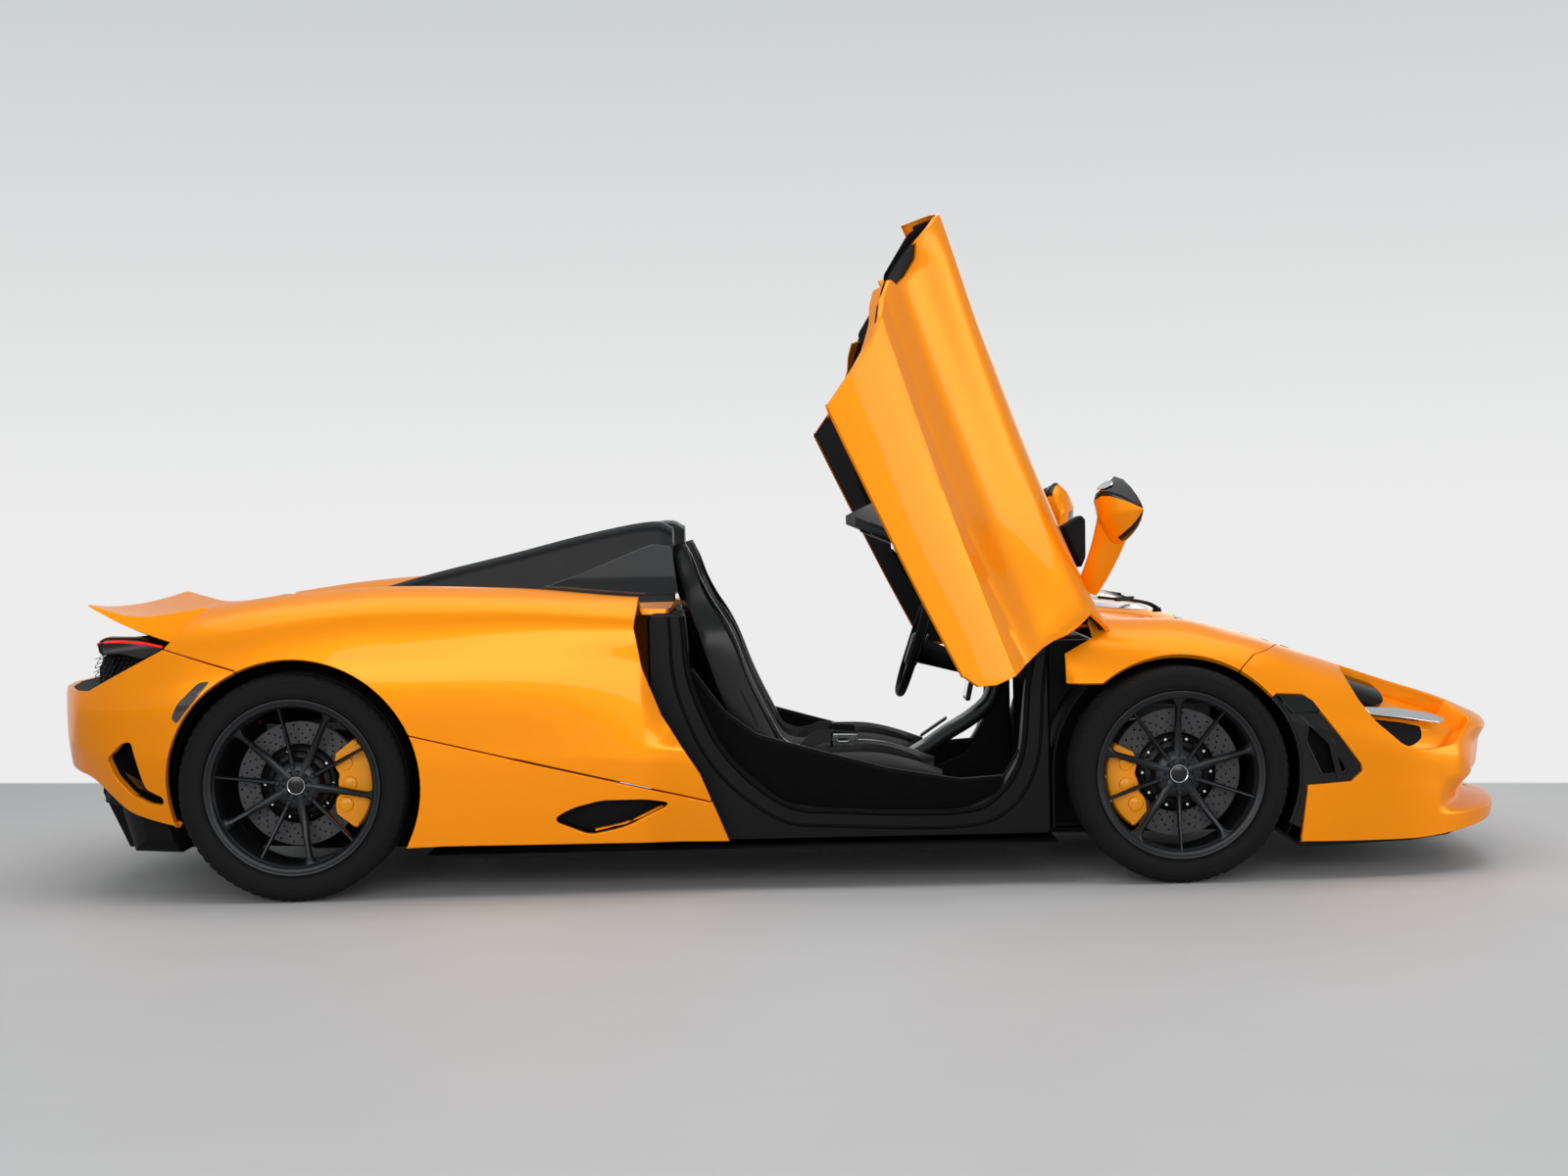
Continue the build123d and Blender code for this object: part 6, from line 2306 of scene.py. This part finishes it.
class SUPERCAR_OT_stage(bpy.types.Operator):
    """Lay the pale floor, hang the soft lights and set the camera"""
    bl_idname = "supercar.stage"
    bl_label = "Stage"

    def execute(self, context):
        settings = context.scene.supercar_stage
        floor_finish = Finish("pale_floor", Roughness=0.6)
        floor_finish.set(Base_Color=floor_finish.mix(floor_finish.noise(3.0, 3.0), (0.5, 0.5, 0.5),
                                                     (0.53, 0.53, 0.53)))
        far = floor_finish.axis(1) + floor_finish.axis(0) * FLOOR_SKEW
        floor_finish.lit(((far - FLOOR_END) * 12.0).clamped(), WALL_LOW)
        size = 40.0
        mesh = bpy.data.meshes.new("floor")
        mesh.from_pydata([(-size, -size, 0), (size, -size, 0), (size, size, 0), (-size, size, 0)], [],
                         [(0, 1, 2, 3)])
        mesh.materials.append(floor_finish.material)
        linked("floor", mesh)

        world = bpy.data.worlds.new("pale_world")
        context.scene.world = world
        world.use_nodes = True
        self.backdrop(Nodes(world.node_tree))
        area_light("overhead", (0, -0.5, 5.2), (0, 0, 0), (8, 5), 200)
        area_light("near_side", (-1.0, -9.5, 2.6), (0, 0, 0.8), (9, 3), 380)
        area_light("far_side", (1.0, 7.0, 3.0), (0, 0, 0.6), (6, 3), 90)
        area_light("nose_side", (8.0, -3.0, 1.6), (1, 0, 0.6), (4, 2.5), 110)

        near = Vector(AIM)
        eye = Vector((near.x, near.y - settings.distance, settings.height))
        data = bpy.data.cameras.new("camera")
        data.lens, data.sensor_width = settings.lens, 36.0
        data.clip_end = 200.0
        camera = linked("camera", data)
        turn = (near - eye).to_track_quat("-Z", "Y").to_matrix() @ Matrix.Rotation(-settings.roll, 3, "Z")
        camera.matrix_world = Matrix.Translation(eye) @ turn.to_4x4()
        context.scene.camera = camera
        context.scene.view_settings.view_transform = "Standard"
        return {"FINISHED"}

    def backdrop(self, world):
        """Even grey light, and for the camera alone a pale wall that brightens towards the horizon."""
        light = world.tree.nodes["Background"]
        world.feed(light.inputs["Color"], (0.85, 0.87, 0.9))
        world.feed(light.inputs["Strength"], 0.42)
        where = world.node("ShaderNodeTexCoord")
        ramp = world.tree.nodes.new("ShaderNodeValToRGB")
        ramp.color_ramp.elements[0].color = (*tone(WALL_LOW), 1)
        ramp.color_ramp.elements[1].position = 0.24
        ramp.color_ramp.elements[1].color = (*tone(WALL_HIGH), 1)
        world.feed(ramp.inputs[0], world.node("ShaderNodeSeparateXYZ", None, where, output=2))
        wall_light = world.node("ShaderNodeBackground", Color=Value(world, ramp.outputs[0]))
        join = world.node("ShaderNodeMixShader", None, world.seen(), Value(world, light.outputs[0]),
                          wall_light)
        world.feed(world.tree.nodes["World Output"].inputs["Surface"], join)


class SUPERCAR_PT_panel(bpy.types.Panel):
    """Buttons for each group of pieces"""
    bl_label = "Supercar"
    bl_idname = "SUPERCAR_PT_panel"
    bl_space_type = "VIEW_3D"
    bl_region_type = "UI"
    bl_category = "Supercar"

    def draw(self, context):
        for group in (context.scene.supercar_finish, context.scene.supercar_shape,
                      context.scene.supercar_stage):
            for name in group.__annotations__:
                self.layout.prop(group, name)
        for step in STEPS:
            self.layout.operator(step.bl_idname)


STEPS = (SUPERCAR_OT_finishes, SUPERCAR_OT_panels, SUPERCAR_OT_openings, SUPERCAR_OT_doors, SUPERCAR_OT_tail,
         SUPERCAR_OT_wheels, SUPERCAR_OT_screen, SUPERCAR_OT_cabin, SUPERCAR_OT_seats, SUPERCAR_OT_stage)
CLASSES = (FinishSettings, ShapeSettings, StageSettings, SUPERCAR_PT_panel) + STEPS


def register():
    for item in CLASSES:
        bpy.utils.register_class(item)
    bpy.types.Scene.supercar_finish = bpy.props.PointerProperty(type=FinishSettings)
    bpy.types.Scene.supercar_shape = bpy.props.PointerProperty(type=ShapeSettings)
    bpy.types.Scene.supercar_stage = bpy.props.PointerProperty(type=StageSettings)


def unregister():
    del bpy.types.Scene.supercar_stage, bpy.types.Scene.supercar_shape, bpy.types.Scene.supercar_finish
    for item in reversed(CLASSES):
        bpy.utils.unregister_class(item)


def main():
    register()
    for step in STEPS:
        group, name = step.bl_idname.split(".")
        getattr(getattr(bpy.ops, group), name)()


if __name__ == "__main__":
    main()
